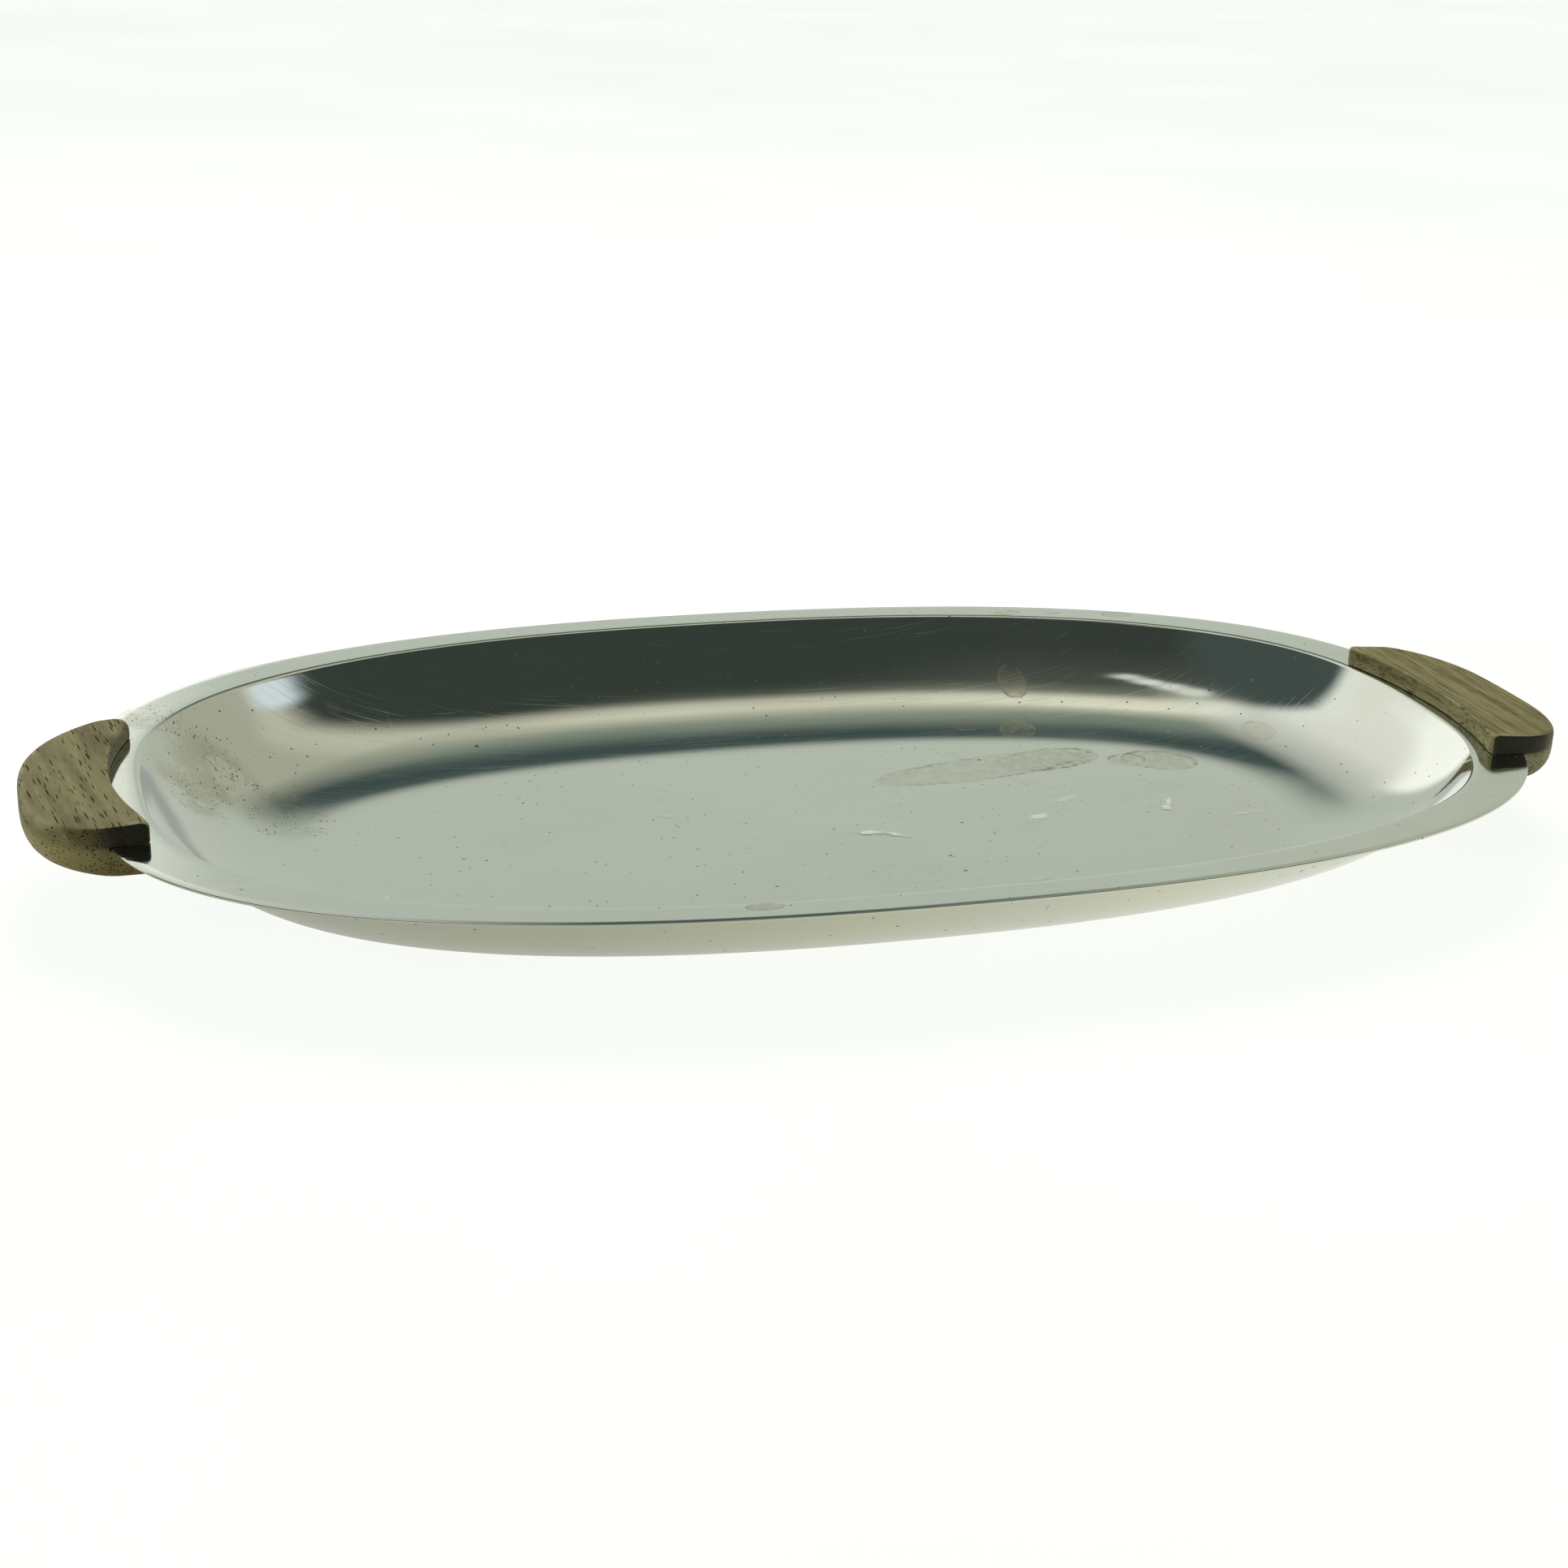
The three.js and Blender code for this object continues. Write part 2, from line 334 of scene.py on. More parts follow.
def addSoftBox(tree, color, box, outward, height):
    # the box's light over the color so far; outward is the angle to the box's own side
    steps = [(degrees, (share, share, share)) for degrees, share in box["fill"]]
    fill = rampOf(tree, times(tree, outward, 1 / 90), steps, 90)
    low = remap(tree, height, *studio["boxLow"])
    lowFill = remap(tree, outward, *box["lowFill"])
    fill = addNode(tree, "ShaderNodeMix", {"Factor": low, "A": fill, "B": lowFill})
    base, bend, rise = box["edge"]
    beyond = calc(tree, "SUBTRACT", outward, bend)
    bent = calc(tree, "MINIMUM" if rise < 0 else "MAXIMUM", beyond, 0.0)
    over = calc(tree, "SUBTRACT", height, calc(tree, "MULTIPLY_ADD", bent, rise, base))
    below = calc(tree, "SUBTRACT", 1.0, remap(tree, over, -studio["boxSoft"], studio["boxSoft"]))
    glow = mixColor(tree, remap(tree, over, *studio["boxTop"]), box["color"], box["topColor"])
    glow = mixColor(tree, low, glow, box["lowColor"])
    return mixColor(tree, times(tree, fill, below), color, glow)


def makeSurroundings():
    world = bpy.data.worlds.new("studio")
    world.use_nodes = True
    scene.world = world
    tree = world.node_tree
    tree.nodes.clear()
    direction = tree.nodes.new("ShaderNodeTexCoord").outputs["Generated"]
    turn = view["turn"]
    ahead = (-math.sin(turn), math.cos(turn), 0)
    across = (math.cos(turn), math.sin(turn), 0)

    def along(axis):
        return vectorMath(tree, "DOT_PRODUCT", direction, axis).outputs["Value"]

    # the angle round the arch, from the far horizon over the top, and the angle to the side
    angle = calc(tree, "ARCTAN2", along((0, 0, 1)), along(ahead))
    side = calc(tree, "DEGREES", calc(tree, "ARCSINE", along(across)))
    height = calc(tree, "DEGREES", angle)
    arch = rampOf(tree, times(tree, height, 1 / 180), studio["arch"], 180)
    leftOut, leftIn, rightIn, rightOut = studio["archSides"]
    window = times(tree, remap(tree, side, leftOut, leftIn), remap(tree, side, rightOut, rightIn))
    window = calc(tree, "MAXIMUM", window, calc(tree, "LESS_THAN", height, studio["archFullBelow"]))
    dark = mixColor(tree, remap(tree, side, *studio["darkTurn"]), studio["darkLeft"], studio["darkRight"])
    color = mixColor(tree, window, dark, arch)
    color = addSoftBox(tree, color, studio["leftBox"], times(tree, side, -1), height)
    color = addSoftBox(tree, color, studio["rightBox"], side, height)
    softOut, softIn = studio["lampSoft"]
    for lampHeight, lampSide, size, lampColor in studio["lamps"]:
        up, out = math.radians(lampHeight), math.radians(lampSide)
        aim = Vector(ahead) * math.cos(out) * math.cos(up) + Vector(across) * math.sin(out)
        aim.z += math.cos(out) * math.sin(up)
        off = calc(tree, "DEGREES", calc(tree, "ARCCOSINE", along(aim)))
        color = mixColor(tree, remap(tree, off, size * softOut, size * softIn), color, lampColor)
    # the pale wall behind the viewer, which only the metal shows
    light = tree.nodes.new("ShaderNodeLightPath").outputs
    behind = times(tree, remap(tree, height, *studio["behindFrom"]), light["Is Glossy Ray"])
    color = mixColor(tree, behind, color, studio["behindColor"])
    color = mixColor(tree, light["Is Camera Ray"], color, studio["background"])
    glow = addNode(tree, "ShaderNodeBackground", {"Color": color})
    output = tree.nodes.new("ShaderNodeOutputWorld")
    tree.links.new(glow.outputs[0], output.inputs["Surface"])


def makeLight(name, settings):
    light = bpy.data.lights.new(name, "AREA")
    light.size = settings["size"]
    light.energy = settings["power"]
    light.color = settings["color"]
    lamp = newPiece(name, light)
    place = Vector(settings["place"])
    lamp.location = place
    lamp.rotation_euler = (-place).to_track_quat("-Z", "Y").to_euler()
    lamp.visible_glossy = False
    lamp.visible_camera = False


makeFloor()
makeSurroundings()
makeLight("topLight", studio["topLight"])
makeLight("sideLight", studio["sideLight"])
print("studio lit")


# effects that more than one material uses

hair = {"rarest": 0.92, "byAmount": -0.25, "patchy": -0.16, "patchScale": 22.0, "soft": 0.06}
speck = {"smallest": 0.4, "soft": 0.6}


def makeScratches():
    number = "NodeSocketFloat"
    group, start, end = newGroup(
        "hairScratches",
        {
            "Vector": ("NodeSocketVector", None),
            "Angle": (number, 0.0),
            "Length": (number, 0.05),
            "Width": (number, 0.0004),
            "Amount": (number, 0.5),
        },
        {"Mask": number},
    )
    plugs = {"Vector": start["Vector"], "Angle": start["Angle"]}
    turned = addNode(group, "ShaderNodeVectorRotate", plugs, rotation_type="Z_AXIS")
    long = calc(group, "DIVIDE", 1.0, start["Length"])
    fine = calc(group, "DIVIDE", 1.0, start["Width"])
    scale = addNode(group, "ShaderNodeCombineXYZ", {"X": long, "Y": fine, "Z": long})
    lines = makeNoise(group, vectorMath(group, "MULTIPLY", turned, scale), detail=1.0)
    patches = makeNoise(group, start["Vector"], hair["patchScale"], 3.0)
    wanted = calc(group, "MULTIPLY_ADD", start["Amount"], hair["byAmount"], hair["rarest"])
    wanted = calc(group, "MULTIPLY_ADD", patches, hair["patchy"], wanted)
    mask = remap(group, lines, wanted, calc(group, "ADD", wanted, hair["soft"]))
    plug(group, end["Mask"], mask)
    return group


def makeSpecks():
    number = "NodeSocketFloat"
    group, start, end = newGroup(
        "smallSpecks",
        {
            "Vector": ("NodeSocketVector", None),
            "Spacing": (number, 0.004),
            "Size": (number, 0.0003),
            "Amount": (number, 0.5),
        },
        {"Mask": number},
    )
    scale = calc(group, "DIVIDE", 1.0, start["Spacing"])
    cells = addNode(group, "ShaderNodeTexVoronoi", {"Vector": start["Vector"], "Scale": scale})
    size = calc(group, "DIVIDE", start["Size"], start["Spacing"])
    chance = addNode(group, "ShaderNodeSeparateColor", {"Color": cells.outputs["Color"]})
    uneven = times(group, size, calc(group, "ADD", chance.outputs[1], speck["smallest"]))
    beyond = remap(group, cells.outputs["Distance"], times(group, uneven, speck["soft"]), uneven)
    kept = calc(group, "LESS_THAN", chance.outputs[0], start["Amount"])
    plug(group, end["Mask"], times(group, calc(group, "SUBTRACT", 1.0, beyond), kept))
    return group


hairScratches = makeScratches()
smallSpecks = makeSpecks()


# the dish: a section turned about the upright axis, spread onto the tray's oval

dish = {
    "sheet": 0.0008,
    "rimEnds": 0.0126,
    "rimSides": 0.0089,
    "crestRadius": 0.0022,
    "floorRadius": 0.052,
    "wallSlope": math.radians(57),
    "rimBow": 0.0013,
    "rimFullness": (2.3, 2.85),
    "crestFullness": (2.34, 2.71),
    "edgeRound": 0.00028,
    "segments": 360,
    "floorRings": 56,
    "filletSteps": 36,
    "crestSteps": 10,
    "rimRings": 5,
    "edgeSteps": 6,
    "wave": 0.00018,
    "waveLength": 0.07,
    "rimCalm": 0.6,
    "seed": 4.0,
}
dish["halfLength"] = (dishHigh.x - dishLow.x) / 2
dish["halfWidth"] = (dishHigh.y - dishLow.y) / 2
dish["rimTop"] = dishHigh.z
dish["depth"] = dish["rimTop"] - dish["sheet"]
dish["crestReach"] = dish["halfLength"] - dish["rimEnds"]
slopeDrop = 1 - math.cos(dish["wallSlope"])
dish["floorRound"] = min(dish["floorRadius"], dish["depth"] / slopeDrop - dish["crestRadius"])
bothRounds = dish["floorRound"] + dish["crestRadius"]
wallDrop = dish["depth"] - bothRounds * slopeDrop
wallRun = wallDrop / math.tan(dish["wallSlope"])
dish["floorReach"] = dish["crestReach"] - wallRun - bothRounds * math.sin(dish["wallSlope"])


def slopeArc(centre, radius, fromSlope, toSlope, steps):
    slopes = [fromSlope + (toSlope - fromSlope) * i / steps for i in range(steps + 1)]
    return [(centre[0] + radius * math.sin(s), centre[1] - radius * math.cos(s)) for s in slopes]


def sheetFace(below):
    # from the rim's edge in to the middle of the floor, this far under the top face
    rimTop, sheet, slope = dish["rimTop"], dish["sheet"], dish["wallSlope"]
    rimStart = dish["halfLength"] - dish["edgeRound"]
    rings = dish["rimRings"]
    rim = [(rimStart + (dish["crestReach"] - rimStart) * i / rings, rimTop - below) for i in range(rings)]
    crestCentre = (dish["crestReach"], rimTop - dish["crestRadius"])
    crest = slopeArc(crestCentre, below - dish["crestRadius"], 0, slope, dish["crestSteps"])
    floorCentre = (dish["floorReach"], sheet + dish["floorRound"])
    fillet = slopeArc(floorCentre, dish["floorRound"] + below, slope, 0, dish["filletSteps"])
    count = dish["floorRings"]
    floor = [(dish["floorReach"] * (1 - i / count), sheet - below) for i in range(1, count + 1)]
    return rim + crest + fillet + floor


def dishSection():
    middle = dish["rimTop"] - dish["sheet"] / 2
    edge = []
    for i in range(1, dish["edgeSteps"]):
        a = math.pi * i / dish["edgeSteps"]
        edge.append((
            dish["halfLength"] - dish["edgeRound"] * (1 - math.sin(a)),
            middle - dish["sheet"] / 2 * math.cos(a),
        ))
    return sheetFace(dish["sheet"])[::-1] + edge + sheetFace(0)


def turnedGrid(tree, section, segments):
    # a grid with a row for each point of the section and a column for each step round it
    count = addNode(tree, "GeometryNodeAttributeDomainSize", {"Geometry": section}).outputs["Point Count"]
    columns = calc(tree, "ADD", segments, 1)
    grid = addNode(tree, "GeometryNodeMeshGrid", {"Vertices X": count, "Vertices Y": columns})
    index = tree.nodes.new("GeometryNodeInputIndex").outputs[0]
    row = calc(tree, "FLOOR", calc(tree, "DIVIDE", calc(tree, "ADD", index, 0.5), columns))
    column = calc(tree, "SUBTRACT", index, times(tree, row, columns))
    turn = times(tree, calc(tree, "DIVIDE", column, segments), 2 * math.pi)
    sample = addNode(tree, "GeometryNodeSampleIndex", data_type="FLOAT_VECTOR", domain="POINT")
    plug(tree, sample.inputs["Geometry"], section)
    plug(tree, sample.inputs["Value"], tree.nodes.new("GeometryNodeInputPosition"))
    plug(tree, sample.inputs["Index"], row)
    under = calc(tree, "LESS_THAN", row, calc(tree, "DIVIDE", count, 2.0))
    return grid, splitVector(tree, sample), turn, under


def makeOvalTree():
    number = "NodeSocketFloat"
    tree, start, end = newGroup(
        "ovalDish",
        {
            "Section": ("NodeSocketGeometry", None),
            "Segments": ("NodeSocketInt", 360),
            "Half Length": (number, 0.2),
            "Half Width": (number, 0.12),
            "Rim At Ends": (number, 0.012),
            "Rim At Sides": (number, 0.009),
            "Rim Fullness X": (number, 2.0),
            "Rim Fullness Y": (number, 2.0),
            "Crest Fullness X": (number, 2.0),
            "Crest Fullness Y": (number, 2.0),
            "Floor Reach": (number, 0.1),
            "Sheet": (number, 0.001),
            "Depth": (number, 0.03),
            "Rim Bow": (number, 0.0),
            "Wave": (number, 0.0),
            "Wave Length": (number, 0.1),
            "Seed": (number, 0.0),
            "Material": ("NodeSocketMaterial", None),
        },
        {"Geometry": "NodeSocketGeometry"},
        "GeometryNodeTree",
    )

    def m(operation, *values):
        return calc(tree, operation, *values)

    grid, section, turn, under = turnedGrid(tree, start["Section"], start["Segments"])
    radius, height = section["X"], section["Z"]

    ring = m("MAXIMUM", radius, start["Floor Reach"])
    share = m("DIVIDE", radius, ring)
    inward = m("SUBTRACT", start["Half Length"], ring)
    blend = m("MINIMUM", m("DIVIDE", inward, start["Rim At Ends"]), 1.0)
    widen = m("MULTIPLY", blend, m("SUBTRACT", start["Rim At Ends"], start["Rim At Sides"]))
    halfWide = m("ADD", m("SUBTRACT", start["Half Width"], inward), widen)

    def spread(wave, reach, axis):
        rim, crest = start[f"Rim Fullness {axis}"], start[f"Crest Fullness {axis}"]
        fullness = m("ADD", rim, m("MULTIPLY", blend, m("SUBTRACT", crest, rim)))
        bent = m("POWER", m("ABSOLUTE", wave), m("DIVIDE", 2.0, fullness))
        return m("MULTIPLY", m("MULTIPLY", m("SIGN", wave), bent), m("MULTIPLY", reach, share))

    x = spread(m("COSINE", turn), ring, "X")
    y = spread(m("SINE", turn), halfWide, "Y")

    rise = m("DIVIDE", m("SUBTRACT", height, start["Sheet"]), start["Depth"])
    rise = m("MINIMUM", m("MAXIMUM", rise, 0.0), 1.0)
    outwards = m("POWER", m("DIVIDE", x, start["Half Length"]), 2.0)
    bow = m("MULTIPLY", m("MULTIPLY", start["Rim Bow"], rise), outwards)

    # a pressed sheet is never quite even
    flat = addNode(tree, "ShaderNodeCombineXYZ", {"X": x, "Y": y, "Z": m("MULTIPLY", start["Seed"], 0.1)})
    ripple = makeNoise(tree, flat, m("DIVIDE", 1.0, start["Wave Length"]), 1.0)
    calm = m("SUBTRACT", 1.0, m("MULTIPLY", rise, dish["rimCalm"]))
    lift = m("MULTIPLY", m("MULTIPLY", ripple, start["Wave"]), calm)
    z = m("ADD", m("SUBTRACT", height, bow), lift)

    placed = addNode(tree, "GeometryNodeSetPosition", {"Geometry": grid})
    plug(tree, placed.inputs["Position"], addNode(tree, "ShaderNodeCombineXYZ", {"X": x, "Y": y, "Z": z}))
    marked = addNode(tree, "GeometryNodeStoreNamedAttribute", {"Geometry": placed, "Name": "underside"})
    plug(tree, marked.inputs["Value"], under)
    closed = addNode(tree, "GeometryNodeMergeByDistance", {"Geometry": marked, "Distance": sealGap})
    smooth = addNode(tree, "GeometryNodeSetShadeSmooth", {"Geometry": closed})
    whole = addNode(tree, "GeometryNodeRealizeInstances", {"Geometry": smooth})
    finished = addNode(tree, "GeometryNodeSetMaterial", {"Geometry": whole, "Material": start["Material"]})
    plug(tree, end["Geometry"], finished)
    return tree


steel = {
    "color": (0.62, 0.655, 0.605, 1),
    # underReflectedTint: a painted reflection of the floor, tinting the underside yellowish
    "underReflectedTint": (0.66, 0.665, 0.50, 1),
    "roughness": 0.062,
    # what lies over the metal: its color and how much it covers
    "tones": {
        "haze": ((0.585, 0.61, 0.55, 1), 0.5),
        "fills": ((0.545, 0.545, 0.44, 1), 0.8),
        "outlines": ((0.30, 0.26, 0.16, 1), 0.62),
        "rubbed": ((0.40, 0.40, 0.31, 1), 0.5),
        "scrapes": ((0.30, 0.26, 0.16, 1), 0.9),
        "dots": ((0.06, 0.05, 0.03, 1), 0.9),
        # dingGlint: a near-white painted glint in the dings
        "dingGlint": ((0.93, 0.95, 0.92, 1), 0.75),
    },
    # how much rougher, duller and higher each makes the face
    "rougher": {
        "smears": 0.05, "scratches": 0.16, "outlines": 0.22, "fills": 0.16, "reach": 0.07,
        "scrapes": 0.25, "under": 0.10, "spots": 0.04, "dingGlint": 0.30,
    },
    "lessMetal": {"dots": -0.9, "dingGlint": -0.35},
    "relief": {"orange": 0.5, "scratches": -0.7, "drawn": 0.8, "dots": -1.0, "scrapes": -1.0},
    "reliefHeight": 0.00005,
    "reliefStrength": 0.12,
    "dingStrength": 0.35,
    "drawnScale": (10.0, 420.0, 420.0),
    "smearScale": (9.0, 60.0, 60.0),
    "noises": {"cloud": (14.0, 4.0), "broken": (420.0, 3.0), "faded": (75.0, 2.0), "clump": (110.0, 2.0),
               "orange": (260.0, 2.0)},
    "grit": {"Spacing": 0.0011, "Size": 0.00036},
    "gritShare": (0.025, 0.9),
    "spots": {"Spacing": 0.014, "Size": 0.0022, "Amount": 0.10},
    "flecks": {"Spacing": 0.006, "Size": 0.0007, "Amount": 0.10},
    "stainEdge": {"scale": 75.0, "detail": 5.0, "roughness": 0.6, "wander": 2.4, "width": 0.0011},
    "dingBend": {"scale": 260.0, "wander": 2.4, "glintFrom": 0.0004},
    "curls": {"scale": 210.0, "distortion": 2.2, "width": (0.022, 0.004), "patchScale": 120.0},
    # dried water marks: x, y, half length, half width, turn, how far the outline wanders, how strong
    "stains": [
        (0.064, 0.0395, 0.036, 0.0095, 9, 0.16, 0.7),
        (0.088, 0.0430, 0.017, 0.0090, 12, 0.34, 1.0),
        (0.121, 0.0355, 0.0125, 0.0085, -28, 0.14, 0.9),
        (0.112, 0.0390, 0.0060, 0.0060, 0, 0.50, 0.8),
        (0.0665, 0.0380, 0.0016, 0.0190, 22, 0.55, 0.35),
        (0.0875, 0.0680, 0.0060, 0.0055, 0, 0.5, 1.0),
        (0.0720, 0.0735, 0.0050, 0.0035, 0, 0.6, 0.5),
        (0.0500, 0.0790, 0.0040, 0.0025, 0, 0.6, 0.5),
        (0.0930, 0.0870, 0.0050, 0.0060, 0, 0.5, 1.0),
        (0.0960, 0.1060, 0.0055, 0.0024, 8, 0.6, 0.9),
        (0.1120, 0.1035, 0.0030, 0.0016, 8, 0.6, 0.7),
        (0.1320, 0.0985, 0.0055, 0.0030, -10, 0.6, 0.9),
        (-0.0500, -0.1130, 0.0050, 0.0022, 0, 0.4, 1.0),
        (0.1560, 0.0400, 0.0035, 0.0065, 25, 0.6, 0.6),
        (0.0700, 0.0120, 0.0500, 0.0130, 4, 0.35, 0.12),
    ],
    # dings pressed into the floor: x, y, half length, half width, turn, depth
    "dings": [
        (0.0140, -0.0045, 0.0042, 0.0016, -10, 0.00050),
        (0.0205, -0.0072, 0.0030, 0.0013, -40, 0.00045),
        (0.0660, -0.0028, 0.0042, 0.0018, 25, 0.00042),
        (0.1063, -0.0030, 0.0026, 0.0012, 55, 0.00050),
        (0.1090, 0.0015, 0.0034, 0.0010, 60, 0.00035),
        (0.0800, 0.0100, 0.0060, 0.0022, 35, 0.00022),
        (0.1290, -0.0120, 0.0060, 0.0012, 5, 0.00022),
        (0.0480, -0.0470, 0.0030, 0.0014, 20, 0.00022),
        (-0.0400, 0.0200, 0.0028, 0.0012, -30, 0.00018),
        (-0.1260, -0.0230, 0.0022, 0.0009, 70, 0.00022),
    ],
    # scuffs by the left handle: x, y, reach
    "scuffs": [
        (-0.180, 0.056, 0.015),
        (-0.163, 0.046, 0.020),
        (-0.146, 0.036, 0.018),
        (-0.172, 0.030, 0.014),
    ],
    # hairlines: angle, length, width, amount
    "hairlines": [
        (0.02, 0.050, 0.00022, 0.60),
        (0.10, 0.030, 0.00026, 0.42),
        (-0.16, 0.022, 0.00026, 0.36),
        (1.25, 0.012, 0.00030, 0.22),
    ],
}


def flatPlace(tree, place):
    return vectorMath(tree, "MULTIPLY", place, (1, 1, 0)).outputs[0]


def ovalDistance(tree, flat, x, y, halfLength, halfWidth, turn):
    moved = vectorMath(tree, "SUBTRACT", flat, (x, y, 0))
    plugs = {"Vector": moved, "Angle": math.radians(-turn)}
    turned = addNode(tree, "ShaderNodeVectorRotate", plugs, rotation_type="Z_AXIS")
    shaped = stretched(tree, turned, (1 / halfLength, 1 / halfWidth, 1))
    return addNode(tree, "ShaderNodeVectorMath", {"Vector": shaped}, operation="LENGTH").outputs["Value"]


def makeDings(tree, place):
    # depth of the dings, in metres, and where a painted glint lightens the metal in them
    settings = steel["dingBend"]
    flat = flatPlace(tree, place)
    depth = 0.0
    dingGlint = 0.0
    noisy = makeNoise(tree, flat, settings["scale"])
    bend = calc(tree, "MULTIPLY_ADD", noisy, settings["wander"], -settings["wander"] / 2)
    for x, y, halfLength, halfWidth, turn, deep in steel["dings"]:
        size = ovalDistance(tree, flat, x, y, halfLength, halfWidth, turn)
        size = calc(tree, "MAXIMUM", calc(tree, "ADD", size, bend), 0.0)
        shape = calc(tree, "EXPONENT", times(tree, times(tree, size, size), -1.0))
        depth = calc(tree, "MULTIPLY_ADD", shape, deep, depth)
        share = min(1.0, deep / settings["glintFrom"])
        dingGlint = calc(tree, "MAXIMUM", dingGlint, times(tree, shape, share))
    return depth, remap(tree, dingGlint, 0.25, 0.85)


def makeStains(tree, place):
    # each mark is an oval with a wandering outline; gives the outlines and what they fill
    settings = steel["stainEdge"]
    flat = flatPlace(tree, place)
    coarse = makeNoise(tree, flat, settings["scale"], settings["detail"], settings["roughness"])
    wobble = calc(tree, "SUBTRACT", coarse, 0.5)
    outlines, fills = 0.0, 0.0
    for x, y, halfLength, halfWidth, turn, wander, strength in steel["stains"]:
        size = ovalDistance(tree, flat, x, y, halfLength, halfWidth, turn)
        away = calc(tree, "MULTIPLY_ADD", wobble, wander * settings["wander"], size)
        band = min(0.10, settings["width"] / halfWidth)
        inner = remap(tree, away, 0.94 - band, 0.98 - band / 2, 0.0, strength)
        line = times(tree, inner, remap(tree, away, 1.02, 0.99))
        outlines = calc(tree, "MAXIMUM", outlines, line)
        fills = calc(tree, "MAXIMUM", fills, remap(tree, away, 1.0, 0.93, 0.0, strength))
    return outlines, fills


def makeScuffs(tree, place):
    # where the rubbing reaches, and short crossing scrapes that are thickest in its middle
    settings = steel["curls"]
    flat = flatPlace(tree, place)
    reach = 0.0
    for x, y, radius in steel["scuffs"]:
        away = vectorMath(tree, "DISTANCE", flat, (x, y, 0)).outputs["Value"]
        reach = calc(tree, "MAXIMUM", reach, remap(tree, away, radius, radius / 5))
    curls = makeNoise(tree, place, settings["scale"], 1.0, distortion=settings["distortion"])
    near = calc(tree, "ABSOLUTE", calc(tree, "SUBTRACT", curls, 0.5))
    patches = makeNoise(tree, place, settings["patchScale"])
    scrapes = times(tree, remap(tree, near, *settings["width"]), remap(tree, patches, 0.44, 0.56))
    return reach, times(tree, scrapes, remap(tree, reach, 0.1, 0.5))


def steelMasks(tree, place):
    noises = {name: makeNoise(tree, place, *values) for name, values in steel["noises"].items()}
    under = addNode(tree, "ShaderNodeAttribute", attribute_name="underside").outputs["Fac"]
    upper = calc(tree, "SUBTRACT", 1.0, under)
    broken, faded = noises["broken"], noises["faded"]

    outlines, fills = makeStains(tree, place)
    outlines = times(tree, outlines, remap(tree, broken, 0.36, 0.56, 0.25, 1.0))
    outlines = times(tree, outlines, remap(tree, faded, 0.40, 0.60, 0.15, 1.0))
    fills = times(tree, fills, remap(tree, broken, 0.3, 0.62, 0.45, 1.0))
    reach, scrapes = makeScuffs(tree, place)
    reach = times(tree, reach, upper)
    depth, dingGlint = makeDings(tree, place)

    scratches = 0.0
    for angle, length, width, amount in steel["hairlines"]:
        plugs = {"Vector": place, "Angle": angle, "Length": length, "Width": width, "Amount": amount}
        scratches = calc(tree, "MAXIMUM", scratches, useGroup(tree, hairScratches, plugs))
    least, most = steel["gritShare"]
    crowded = times(tree, reach, remap(tree, noises["clump"], 0.42, 0.62))
    amount = calc(tree, "MULTIPLY_ADD", crowded, most, least)
    grit = useGroup(tree, smallSpecks, {"Vector": place, "Amount": amount, **steel["grit"]})
    flecks = useGroup(tree, smallSpecks, {"Vector": place, **steel["flecks"]})
    smears = makeNoise(tree, stretched(tree, place, steel["smearScale"]), detail=3.0)
    return {
        "under": under,
        "haze": remap(tree, noises["cloud"], 0.35, 0.7),
        "smears": remap(tree, smears, 0.35, 0.7),
        "outlines": times(tree, outlines, upper),
        "fills": times(tree, fills, upper),
        "reach": reach,
        "rubbed": times(tree, remap(tree, reach, 0.2, 0.8), remap(tree, faded, 0.46, 0.60)),
        "scrapes": scrapes,
        "scratches": scratches,
        "dots": calc(tree, "MAXIMUM", grit, flecks),
        "spots": useGroup(tree, smallSpecks, {"Vector": place, **steel["spots"]}),
        "dingGlint": times(tree, dingGlint, upper),
        "dings": times(tree, depth, upper),
        "orange": noises["orange"],
        "drawn": makeNoise(tree, stretched(tree, place, steel["drawnScale"]), detail=3.0),
    }


def makeSteel():
    material, tree, shader, place = newMaterial("wornSteel")
    masks = steelMasks(tree, place)

    def summed(start, shares):
        for name, share in shares.items():
            start = calc(tree, "MULTIPLY_ADD", masks[name], share, start)
        return start

    # the underside's yellowish tint is a painted reflection of the floor
    color = mixColor(tree, masks["under"], steel["color"], steel["underReflectedTint"])
    for name, (tone, strength) in steel["tones"].items():
        color = mixColor(tree, times(tree, masks[name], strength), color, tone)
    plug(tree, shader.inputs["Base Color"], color)
    plug(tree, shader.inputs["Metallic"], summed(1.0, steel["lessMetal"]))
    plug(tree, shader.inputs["Roughness"], summed(steel["roughness"], steel["rougher"]))

    bump = addNode(tree, "ShaderNodeBump", {
        "Strength": steel["reliefStrength"],
        "Distance": steel["reliefHeight"],
        "Height": summed(0.0, steel["relief"]),
    })
    dinged = addNode(tree, "ShaderNodeBump", {
        "Strength": steel["dingStrength"],
        "Distance": 1.0,
        "Height": masks["dings"],
        "Normal": bump,
    })
    plug(tree, shader.inputs["Normal"], dinged)
    return material


